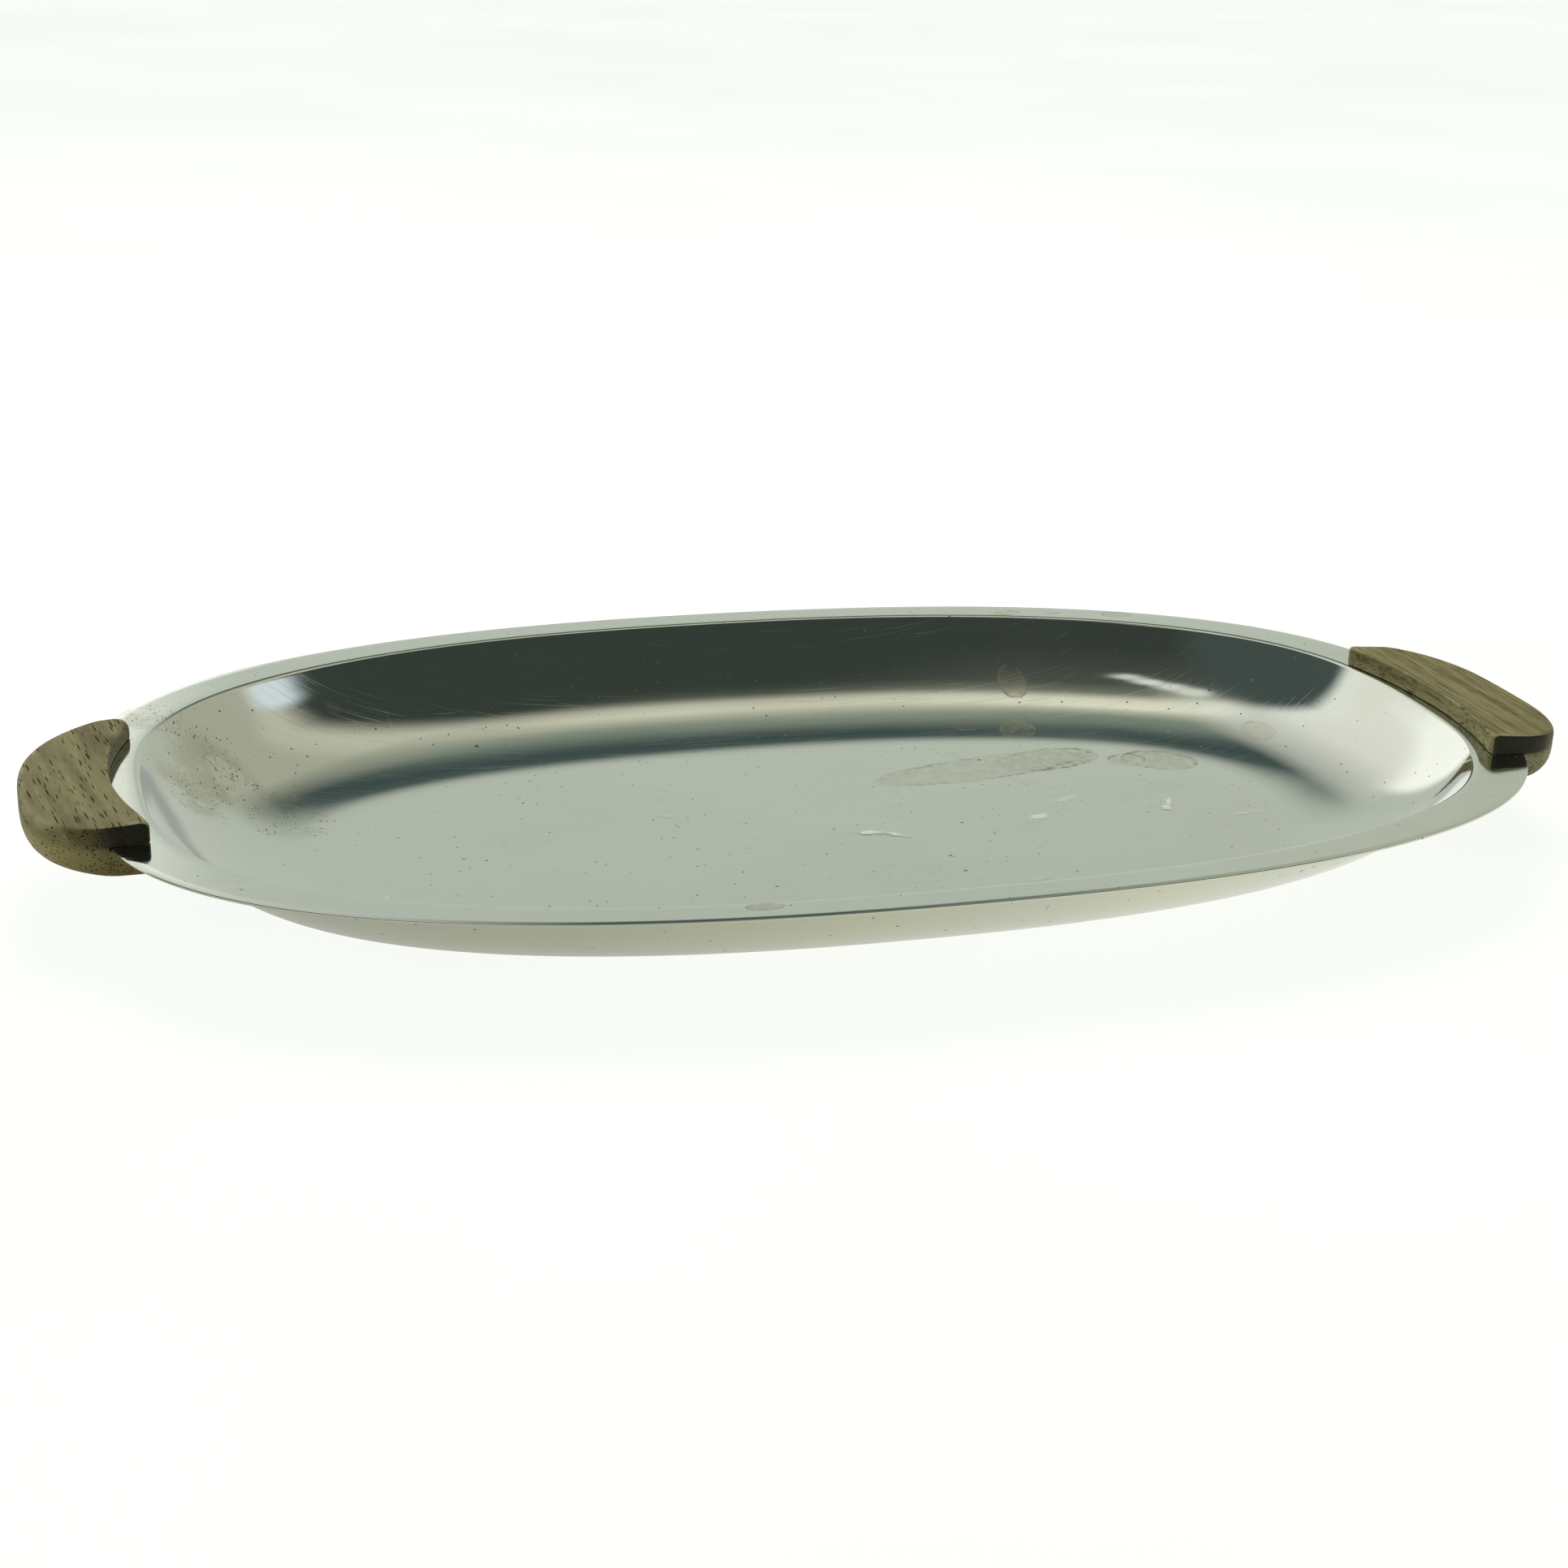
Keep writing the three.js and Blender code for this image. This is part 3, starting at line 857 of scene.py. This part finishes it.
wornSteel = makeSteel()
sectionPoints = [(r, 0, z) for r, z in dishSection()]
sectionMesh = bpy.data.meshes.new("dishSection")
sectionMesh.from_pydata(sectionPoints, [(i, i + 1) for i in range(len(sectionPoints) - 1)], [])
trayDish = newPiece("tray_dish_pressed", sectionMesh)
addTree(trayDish, makeOvalTree(), {
    "Segments": dish["segments"],
    "Half Length": dish["halfLength"],
    "Half Width": dish["halfWidth"],
    "Rim At Ends": dish["rimEnds"],
    "Rim At Sides": dish["rimSides"],
    "Rim Fullness X": dish["rimFullness"][0],
    "Rim Fullness Y": dish["rimFullness"][1],
    "Crest Fullness X": dish["crestFullness"][0],
    "Crest Fullness Y": dish["crestFullness"][1],
    "Floor Reach": dish["floorReach"],
    "Sheet": dish["sheet"],
    "Depth": dish["depth"],
    "Rim Bow": dish["rimBow"],
    "Wave": dish["wave"],
    "Wave Length": dish["waveLength"],
    "Seed": dish["seed"],
    "Material": wornSteel,
})
settle(trayDish)
faceOutwards(trayDish.data)
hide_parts("tray_dish")
# the bright metal mirrors the studio, not itself
trayDish.visible_glossy = False
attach(trayDish, "root")
print("dish pressed:", len(trayDish.data.polygons), "faces")


# the handles: sections of the wood, one after another along the handle

handle = {
    "taper": 0.0035,
    "startBack": 0.010,
    "topFall": math.radians(4.5),
    "slotGap": 0.00012,
    "slotEndGap": 0.0002,
    "innerCorner": 0.0028,
    "endRound": 0.0008,
    # rounding of the section's corners
    "topInner": 0.0008,
    "topOuter": 0.0024,
    "bottomOuter": 0.0062,
    "bottomInner": 0.0012,
    "lipEdge": 0.0005,
    "stations": 90,
    "endSteps": 9,
    "cornerSteps": 7,
    "handWork": 0.00022,
    "handWorkLength": 0.016,
    "headHole": 0.0030,
    "shankHole": 0.0018,
    "holeSegments": 32,
    "holeSpare": 0.0003,
    # the outline's fullness and the round of its outer corner, at the near and the far end
    # and how much softer the top's inner edge gets towards each end, and over what length
    "left": {
        "hollow": 0.0087,
        "fullness": (3.0, 2.4),
        "outerCorner": (0.0026, 0.0022),
        "endSoft": ((0.0022, 0.009), (0.0036, 0.030)),
    },
    "right": {
        "hollow": 0.0063,
        "fullness": (3.0, 3.0),
        "outerCorner": (0.0024, 0.0010),
        "endSoft": ((0.0014, 0.008), (0.0010, 0.008)),
    },
}


screw = {
    "headRadius": 0.0027,
    "headHeight": 0.0016,
    "coreRadius": 0.00105,
    "threadRadius": 0.0015,
    "pitch": 0.00095,
    "plainLength": 0.0042,
    "tipLength": 0.003,
    "slotWidth": 0.0008,
    "slotDepth": 0.0007,
    "segments": 28,
    "seed": 3,
}
screwNodes = sorted(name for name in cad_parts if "screw" in name)
screwBoxes = [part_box(name) for name in screwNodes]
screwPlaces = [((lo.x + hi.x) / 2, (lo.y + hi.y) / 2, lo.z) for lo, hi in screwBoxes]
screwLength = screwBoxes[0][1].z - screwBoxes[0][0].z


def rimEdge(y):
    fullX, fullY = dish["rimFullness"]
    return dish["halfLength"] * (1 - abs(y / dish["halfWidth"]) ** fullY) ** (1 / fullX)


def roundedCorner(before, corner, after, cut, steps):
    # a smooth turn that leaves each side this far from the corner
    toBefore = (before - corner).normalized() * cut
    toAfter = (after - corner).normalized() * cut
    points = []
    for i in range(steps + 1):
        t = i / steps
        points.append(corner + toBefore * (1 - t) ** 2 + toAfter * t ** 2)
    return points


def handleSection(size, y):
    # the corners of the C-shaped section at y from the handle's middle, with their rounding
    half = size["length"] / 2
    away = abs(y)

    def drawIn(radius):
        past = away - (half - radius)
        return 0.0 if past <= 0 else radius - math.sqrt(max(radius ** 2 - past ** 2, 0.0))

    arc = (half ** 2 + size["hollow"] ** 2) / (2 * size["hollow"])
    inner = size["reach"] + size["hollow"] - arc + math.sqrt(arc ** 2 - y ** 2)
    inner += drawIn(handle["innerCorner"])
    start = size["reach"] - handle["startBack"]
    end = 0 if y < 0 else 1
    fullness = size["fullness"][end]
    bulge = (1 - (away / (half + handle["taper"])) ** fullness) ** (1 / fullness)
    outer = start + (size["outer"] - start) * bulge - drawIn(size["outerCorner"][end])
    soft, softReach = size["endSoft"][end]
    soft *= max(0.0, 1 - (half - away) / softReach) ** 1.3
    ease = drawIn(handle["endRound"])
    low = size["low"] + ease
    slotEnd = rimEdge(y + size["shift"]) + handle["slotEndGap"]
    bow = lambda x: dish["rimBow"] * (x / dish["halfLength"]) ** 2
    roof = lambda x: dish["rimTop"] + handle["slotGap"] - bow(x)
    ledge = lambda x: dish["rimTop"] - dish["sheet"] - handle["slotGap"] - bow(x)
    top = lambda x: size["high"] - (x - size["reach"]) * math.tan(handle["topFall"]) - ease
    corners = [
        (inner, roof(inner), handle["lipEdge"], 2),
        (inner, top(inner), handle["topInner"] + soft, 12),
        (outer, top(outer), handle["topOuter"], 3),
        (outer, low, handle["bottomOuter"], 8),
        (inner, low, handle["bottomInner"], 3),
        (inner, ledge(inner), handle["lipEdge"], 5),
        (slotEnd, ledge(slotEnd), 0.0, 1),
        (slotEnd, roof(slotEnd), 0.0, 5),
    ]
    return corners


def sectionRing(corners):
    # the rounded section as a ring of points, each with how much wear and painted highlight it gets
    ring = []
    count = len(corners)
    spots = [Vector((x, z)) for x, z, cut, along in corners]
    turns = []
    for i, (x, z, cut, along) in enumerate(corners):
        if cut > 0:
            ahead = spots[(i + 1) % count]
            turns.append(roundedCorner(spots[i - 1], spots[i], ahead, cut, handle["cornerSteps"]))
        else:
            turns.append([spots[i]])
    for i, turn in enumerate(turns):
        steps = max(len(turn) - 1, 1)
        wornAndLit = corners[i][2] > 0
        for j, point in enumerate(turn):
            ring.append((point, math.sin(math.pi * j / steps) if wornAndLit else 0.0, wornAndLit or i > 5))
        following = turns[(i + 1) % count][0]
        along = corners[i][3]
        for j in range(1, along):
            ring.append((turn[-1].lerp(following, j / along), 0.0, True))
    return ring


def handleStations(half):
    rounds = handle["innerCorner"]
    steps = handle["endSteps"]
    end = [half - rounds * (1 - math.sin(math.pi / 2 * i / steps)) for i in range(1, steps + 1)]
    # two more close to the end face, for its small rounding
    end = sorted(end + [half - handle["endRound"] * share for share in (1.0, 0.6, 0.3, 0.1, 0.02)])
    middle = [(half - rounds) * (2 * i / handle["stations"] - 1) for i in range(handle["stations"] + 1)]
    return [-y for y in reversed(end)] + middle + end


def holeSection(low):
    # countersink and shank hole for one screw, in from beneath
    spare = handle["holeSpare"]
    neck = low + screw["headHeight"] + spare
    return [
        (0, low - screw["headHeight"]),
        (handle["headHole"], low - screw["headHeight"]),
        (handle["headHole"], low + spare),
        (handle["shankHole"], neck),
        (handle["shankHole"], low + screwLength - screw["tipLength"] / 2),
        (0, low + screwLength + spare),
    ]


def turnedMesh(name, section, places):
    # the section turned round each place, closed at both ends
    count = handle["holeSegments"]
    vertices, faces = [], []
    for x, y in places:
        first = len(vertices)
        vertices.append((x, y, section[0][1]))
        for radius, z in section[1:-1]:
            for i in range(count):
                turn = 2 * math.pi * i / count
                vertices.append((x + radius * math.cos(turn), y + radius * math.sin(turn), z))
        last = len(vertices)
        vertices.append((x, y, section[-1][1]))
        for i in range(count):
            j = (i + 1) % count
            faces.append((first, first + 1 + j, first + 1 + i))
            for ring in range(len(section) - 3):
                a = first + 1 + ring * count
                faces.append((a + i, a + j, a + count + j, a + count + i))
            faces.append((last, last - count + i, last - count + j))
    mesh = bpy.data.meshes.new(name)
    mesh.from_pydata(vertices, [], faces)
    mesh.update()
    return mesh


def cutScrewHoles(piece, side):
    places = [(x, y) for x, y, z in screwPlaces if x * side > 0]
    low = min(z for x, y, z in screwPlaces)
    cutter = newPiece(f"{piece.name}_holes", turnedMesh(f"{piece.name}_holes", holeSection(low), places))
    cut = piece.modifiers.new("screwHoles", "BOOLEAN")
    cut.operation = "DIFFERENCE"
    cut.solver = "EXACT"
    cut.object = cutter
    settle(piece)
    bpy.data.objects.remove(cutter)


def makeHandle(name, side, material):
    low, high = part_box(f"{name}_handle")
    size = dict(handle[name])
    size["length"] = high.y - low.y
    size["shift"] = (high.y + low.y) / 2
    size["reach"] = min(abs(low.x), abs(high.x))
    size["outer"] = max(abs(low.x), abs(high.x))
    size["low"], size["high"] = low.z, high.z
    half = size["length"] / 2
    vertices = []
    wearAndHighlight = []
    faces = []
    stations = handleStations(half)
    for y in stations:
        ring = sectionRing(handleSection(size, y))
        nearEnd = max(0.0, 1 - (half - abs(y)) / handle["innerCorner"])
        for point, wornAndLit, outside in ring:
            vertices.append((side * point.x, y + size["shift"], point.y))
            endWearAndHighlight = 0.8 * math.sin(math.pi * nearEnd) if point.x < size["reach"] + 0.006 else 0.0
            # a painted highlight line along the top of the end's small rounding
            if half - abs(y) < handle["endRound"] and point.y > size["high"] - 0.003:
                endWearAndHighlight = 1.0
            wearAndHighlight.append(max(wornAndLit, endWearAndHighlight))
    around = len(vertices) // len(stations)
    for i in range(len(stations) - 1):
        for j in range(around):
            a, b = i * around + j, i * around + (j + 1) % around
            faces.append((a, b, b + around, a + around))
    faces.append(tuple(range(around))[::-1])
    faces.append(tuple(range(len(vertices) - around, len(vertices))))
    mesh = bpy.data.meshes.new(f"{name}_handle_shaped")
    mesh.from_pydata(vertices, [], faces)
    mesh.update()
    mesh.attributes.new("edgeWear", "FLOAT", "POINT").data.foreach_set("value", wearAndHighlight)
    faceOutwards(mesh)

    # shaped by hand: a little uneven, and always inside the block it came from
    normals = [v.normal.copy() for v in mesh.vertices]
    for vertex, normal in zip(mesh.vertices, normals):
        depth = noise.noise(vertex.co / handle["handWorkLength"] + Vector((7 * side, 0, 3))) * 0.5 + 0.5
        vertex.co -= normal * depth * handle["handWork"]
    mesh.materials.append(material)

    piece = newPiece(f"{name}_handle_shaped", mesh)
    cutScrewHoles(piece, side)
    mesh = piece.data
    mesh.update()
    lower = [min(1.0, max(0.0, (dish["rimTop"] - v.co.z) / 0.003)) for v in mesh.vertices]
    mesh.attributes.new("lowerPart", "FLOAT", "POINT").data.foreach_set("value", lower)
    endGrain = [0.0] * len(mesh.loops)
    for polygon in mesh.polygons:
        flatEnd = abs(polygon.normal.y) > 0.95
        for loop in polygon.loop_indices:
            vertex = mesh.vertices[mesh.loops[loop].vertex_index]
            endGrain[loop] = 1.0 if flatEnd else min(1.0, max(0.0, (abs(vertex.normal.y) - 0.25) / 0.4))
    mesh.attributes.new("endGrain", "FLOAT", "CORNER").data.foreach_set("value", endGrain)
    for polygon in mesh.polygons:
        polygon.use_smooth = True
    mesh.set_sharp_from_angle(angle=math.radians(40))
    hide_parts(f"{name}_handle")
    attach(piece, "root")
    print(name, "handle shaped:", len(mesh.polygons), "faces")


grain = {
    "poreUneven": (0.6, 0.7),
    "poreSoft": 0.6,
    "crowdLengths": (0.005, 0.025),
    "crowd": (0.32, 0.62, 0.75, 1.25),
    "bandLength": 0.09,
    "streakLength": 0.035,
    "streakFrom": (0.57, 0.64),
    "fibreLengths": (0.0003, 0.006),
}


def makeWoodGrain():
    number = "NodeSocketFloat"
    group, start, end = newGroup(
        "openPoredWood",
        {
            "Vector": ("NodeSocketVector", None),
            "Pore Length": (number, 0.007),
            "Pore Spacing": (number, 0.0006),
            "Pore Size": (number, 0.3),
            "Pore Share": (number, 0.5),
            "Band Width": (number, 0.004),
            "Streak Width": (number, 0.0006),
        },
        {"Pores": number, "Bands": number, "Streaks": number, "Fibre": number},
    )

    def lengthwise(across, along):
        # the grain runs along Y
        fine = calc(group, "DIVIDE", 1.0, across)
        long = calc(group, "DIVIDE", 1.0, along)
        scale = addNode(group, "ShaderNodeCombineXYZ", {"X": fine, "Y": long, "Z": fine})
        return vectorMath(group, "MULTIPLY", start["Vector"], scale)

    place = lengthwise(start["Pore Spacing"], start["Pore Length"])
    cells = addNode(group, "ShaderNodeTexVoronoi", {"Vector": place, "Scale": 1.0})
    chance = addNode(group, "ShaderNodeSeparateColor", {"Color": cells.outputs["Color"]})
    smallest, more = grain["poreUneven"]
    size = times(group, start["Pore Size"], calc(group, "MULTIPLY_ADD", chance.outputs[1], more, smallest))
    beyond = remap(group, cells.outputs["Distance"], times(group, size, grain["poreSoft"]), size)
    crowd = makeNoise(group, lengthwise(*grain["crowdLengths"]))
    share = times(group, start["Pore Share"], remap(group, crowd, *grain["crowd"]))
    kept = calc(group, "LESS_THAN", chance.outputs[0], share)
    plug(group, end["Pores"], times(group, calc(group, "SUBTRACT", 1.0, beyond), kept))
    wide = lengthwise(start["Band Width"], grain["bandLength"])
    plug(group, end["Bands"], makeNoise(group, wide, 1.0, 3.0, 0.6, 0.4))
    streaks = makeNoise(group, lengthwise(start["Streak Width"], grain["streakLength"]), detail=1.0)
    plug(group, end["Streaks"], remap(group, streaks, *grain["streakFrom"]))
    plug(group, end["Fibre"], makeNoise(group, lengthwise(*grain["fibreLengths"])))
    return group


openPoredWood = makeWoodGrain()

wood = {
    "dark": (0.108, 0.094, 0.036, 1),
    "light": (0.215, 0.198, 0.090, 1),
    "warm": (0.190, 0.138, 0.036, 1),
    "wornAndLit": (0.33, 0.31, 0.18, 1),
    "pore": (0.010, 0.008, 0.004, 1),
    "blotchScale": 90.0,
    # how much of each goes over the wood
    "warmShare": 0.8,
    "fibreShare": 0.28,
    "blotchShare": 0.3,
    "sawnShadeShare": 0.95,
    "wornAndLitShare": 0.5,
    "poreShare": 0.93,
    "warmHeights": (0.0255, 0.0205),
    "sawnEdge": (0.002, 0.001),
    "roughness": (0.52, 0.68),
    "poreRoughness": 0.3,
    "fibreRelief": 0.25,
    "shine": 0.18,
    "reliefHeight": 0.0002,
    "reliefStrength": 0.6,
    "left": {
        "grain": {"Pore Length": 0.0105, "Pore Spacing": 0.00070, "Pore Size": 0.30, "Pore Share": 0.78,
                  "Band Width": 0.0060, "Streak Width": 0.0007},
        "turn": -0.14,
        "streaks": 0.12,
        "tint": (1.0, 1.0, 1.0, 1),
        "lower": 0.75,
        "lowerLight": (0.34, 0.30, 0.115, 1),
        "sawnShade": (0.203, 0.195),
        "sawnShadeColor": (0.026, 0.022, 0.015, 1),
    },
    "right": {
        "grain": {"Pore Length": 0.020, "Pore Spacing": 0.00060, "Pore Size": 0.30, "Pore Share": 0.34,
                  "Band Width": 0.0024, "Streak Width": 0.00048},
        "turn": 0.0,
        "streaks": 0.75,
        "tint": (1.16, 1.13, 1.08, 1),
        "lower": 1.0,
        "lowerLight": (0.48, 0.46, 0.27, 1),
        "sawnShade": (0.206, 0.199),
        "sawnShadeColor": (0.036, 0.035, 0.026, 1),
    },
}


def makeWood(name):
    own = wood[name]
    material, tree, shader, place = newMaterial(f"{name}HandleWood")
    plugs = {"Vector": place, "Angle": own["turn"]}
    slanted = addNode(tree, "ShaderNodeVectorRotate", plugs, rotation_type="Z_AXIS")
    lines = useGroup(tree, openPoredWood, {"Vector": slanted, **own["grain"]}).outputs
    attribute = {
        label: addNode(tree, "ShaderNodeAttribute", attribute_name=label).outputs["Fac"]
        for label in ("edgeWear", "endGrain", "lowerPart")
    }
    blotch = makeNoise(tree, place, wood["blotchScale"], 3.0)
    spot = splitVector(tree, place)

    def cover(color, mask, share, tone):
        return mixColor(tree, times(tree, mask, share), color, tone)

    color = mixColor(tree, remap(tree, lines["Bands"], 0.32, 0.68), wood["dark"], wood["light"])
    color = cover(color, attribute["lowerPart"], own["lower"], own["lowerLight"])
    warm = remap(tree, spot["Z"], *wood["warmHeights"])
    warm = times(tree, warm, remap(tree, blotch, 0.3, 0.6, 0.5, 1.0))
    color = cover(color, warm, wood["warmShare"], wood["warm"])
    color = cover(color, remap(tree, lines["Fibre"], *noiseSpan), wood["fibreShare"], wood["dark"])
    color = cover(color, lines["Streaks"], own["streaks"], wood["pore"])
    color = cover(color, remap(tree, blotch, 0.35, 0.7), wood["blotchShare"], wood["light"])
    color = mixColor(tree, 1.0, color, own["tint"], "MULTIPLY")

    # the sawn ends of the upper lip are dark end grain, darkened further with painted shade, and the edges
    # are rubbed light, partly with a painted highlight
    onEnd = remap(tree, attribute["endGrain"], 0.75, 0.95)
    low, high = [dish["rimTop"] - below for below in wood["sawnEdge"]]
    # painted shade darkens the sawn ends beyond their end grain
    sawnShade = times(tree, onEnd, remap(tree, calc(tree, "ABSOLUTE", spot["X"]), *own["sawnShade"]))
    sawnShade = times(tree, sawnShade, remap(tree, spot["Z"], low, high))
    sawnShade = times(tree, sawnShade, remap(tree, blotch, 0.25, 0.45, 0.75, 1.0))
    color = cover(color, sawnShade, wood["sawnShadeShare"], own["sawnShadeColor"])
    # rubbed edges: partly real wear, partly a painted highlight
    wornAndLit = times(tree, attribute["edgeWear"], remap(tree, blotch, 0.35, 0.6))
    wornAndLit = times(tree, wornAndLit, calc(tree, "SUBTRACT", 1.0, onEnd))
    color = cover(color, wornAndLit, wood["wornAndLitShare"], wood["wornAndLit"])
    color = cover(color, lines["Pores"], wood["poreShare"], wood["pore"])
    plug(tree, shader.inputs["Base Color"], color)

    rough = remap(tree, lines["Fibre"], *noiseSpan, *wood["roughness"])
    rough = calc(tree, "MULTIPLY_ADD", lines["Pores"], wood["poreRoughness"], rough)
    plug(tree, shader.inputs["Roughness"], rough)
    shader.inputs["Specular IOR Level"].default_value = wood["shine"]
    relief = times(tree, lines["Fibre"], wood["fibreRelief"])
    relief = calc(tree, "SUBTRACT", relief, lines["Pores"])
    bump = addNode(tree, "ShaderNodeBump", {
        "Strength": wood["reliefStrength"],
        "Distance": wood["reliefHeight"],
        "Height": relief,
    })
    plug(tree, shader.inputs["Normal"], bump)
    return material


makeHandle("left", -1, makeWood("left"))
makeHandle("right", 1, makeWood("right"))


# the wood screws, put in from beneath

def screwSection(length):
    # from the middle of the head's face up to the tip
    rim = 0.00012
    points = [(0, 0), (screw["headRadius"] - rim, 0), (screw["headRadius"], rim)]
    points.append((screw["threadRadius"], screw["headHeight"]))
    points.append((screw["threadRadius"], screw["plainLength"]))
    height = screw["plainLength"]
    while height + screw["pitch"] < length - screw["tipLength"] * 0.3:
        taper = min(1.0, (length - height) / screw["tipLength"])
        points.append((screw["coreRadius"] * taper, height + screw["pitch"] * 0.3))
        points.append((screw["coreRadius"] * taper, height + screw["pitch"] * 0.6))
        points.append((screw["threadRadius"] * taper, height + screw["pitch"] * 0.9))
        height += screw["pitch"]
    points.append((0, length))
    return points


def makeScrewTree():
    number = "NodeSocketFloat"
    tree, start, end = newGroup(
        "slottedScrews",
        {
            "Places": ("NodeSocketGeometry", None),
            "Section": ("NodeSocketObject", None),
            "Segments": ("NodeSocketInt", 28),
            "Slot Width": (number, 0.0008),
            "Slot Depth": (number, 0.0007),
            "Slot Length": (number, 0.01),
            "Seed": ("NodeSocketInt", 1),
            "Material": ("NodeSocketMaterial", None),
        },
        {"Geometry": "NodeSocketGeometry"},
        "GeometryNodeTree",
    )
    section = addNode(tree, "GeometryNodeObjectInfo", {"Object": start["Section"]}).outputs["Geometry"]
    grid, spot, turn, under = turnedGrid(tree, section, start["Segments"])
    around = addNode(tree, "ShaderNodeCombineXYZ", {
        "X": times(tree, spot["X"], calc(tree, "SINE", turn)),
        "Y": times(tree, spot["X"], calc(tree, "COSINE", turn)),
        "Z": spot["Z"],
    })
    placed = addNode(tree, "GeometryNodeSetPosition", {"Geometry": grid, "Position": around})
    body = addNode(tree, "GeometryNodeMergeByDistance", {"Geometry": placed, "Distance": sealGap})
    size = addNode(tree, "ShaderNodeCombineXYZ", {
        "X": start["Slot Length"], "Y": start["Slot Width"], "Z": times(tree, start["Slot Depth"], 2.0)})
    blade = addNode(tree, "GeometryNodeMeshCube", {"Size": size})
    cut = addNode(tree, "GeometryNodeMeshBoolean", operation="DIFFERENCE")
    plug(tree, cut.inputs["Mesh 1"], body)
    plug(tree, cut.inputs["Mesh 2"], blade)
    spin = addNode(tree, "FunctionNodeRandomValue", {"Seed": start["Seed"]}, data_type="FLOAT")
    for socket in spin.inputs:
        if socket.name == "Max" and socket.type == "VALUE":
            socket.default_value = math.pi
    facing = addNode(tree, "ShaderNodeCombineXYZ", {"Z": [o for o in spin.outputs if o.type == "VALUE"][0]})
    plugs = {"Points": start["Places"], "Instance": cut, "Rotation": facing}
    copies = addNode(tree, "GeometryNodeInstanceOnPoints", plugs)
    whole = addNode(tree, "GeometryNodeRealizeInstances", {"Geometry": copies})
    finished = addNode(tree, "GeometryNodeSetMaterial", {"Geometry": whole, "Material": start["Material"]})
    plug(tree, end["Geometry"], finished)
    return tree


screwFinish = {
    "color": (0.50, 0.49, 0.45, 1),
    "dirt": (0.20, 0.17, 0.12, 1),
    "scratch": (0.66, 0.66, 0.62, 1),
    "scratches": {"Angle": 0.7, "Length": 0.004, "Width": 0.00012, "Amount": 0.8},
    "scratchShare": 0.5,
    "grimeScale": 700.0,
    "grimeFrom": (0.42, 0.68),
    "roughness": 0.28,
    "dirtRoughness": 0.3,
    "reliefHeight": 0.00005,
    "reliefStrength": 0.3,
}


def makeScrewSteel():
    material, tree, shader, place = newMaterial("screwSteel")
    lines = useGroup(tree, hairScratches, {"Vector": place, **screwFinish["scratches"]})
    grime = makeNoise(tree, place, screwFinish["grimeScale"], 4.0)
    dirty = remap(tree, grime, *screwFinish["grimeFrom"])
    color = mixColor(tree, dirty, screwFinish["color"], screwFinish["dirt"])
    marked = times(tree, lines, screwFinish["scratchShare"])
    plug(tree, shader.inputs["Base Color"], mixColor(tree, marked, color, screwFinish["scratch"]))
    shader.inputs["Metallic"].default_value = 1.0
    rough = calc(tree, "MULTIPLY_ADD", dirty, screwFinish["dirtRoughness"], screwFinish["roughness"])
    plug(tree, shader.inputs["Roughness"], rough)
    bump = addNode(tree, "ShaderNodeBump", {
        "Strength": screwFinish["reliefStrength"],
        "Distance": screwFinish["reliefHeight"],
        "Height": lines,
    })
    plug(tree, shader.inputs["Normal"], bump)
    return material


outlineMesh = bpy.data.meshes.new("screwSection")
outline = screwSection(screwLength)
outlineMesh.from_pydata([(r, 0, z) for r, z in outline], [(i, i + 1) for i in range(len(outline) - 1)], [])
screwOutline = newPiece("screwSection", outlineMesh)
placesMesh = bpy.data.meshes.new("screwPlaces")
placesMesh.from_pydata(screwPlaces, [], [])
screws = newPiece("handle_screws", placesMesh)
addTree(screws, makeScrewTree(), {
    "Section": screwOutline,
    "Segments": screw["segments"],
    "Slot Width": screw["slotWidth"],
    "Slot Depth": screw["slotDepth"],
    "Slot Length": screw["headRadius"] * 3,
    "Seed": screw["seed"],
    "Material": makeScrewSteel(),
})
settle(screws)
faceOutwards(screws.data)
bpy.data.objects.remove(screwOutline)
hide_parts(*screwNodes)
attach(screws, "root")
print("screws turned:", len(screwPlaces), "screws,", len(screws.data.polygons), "faces")
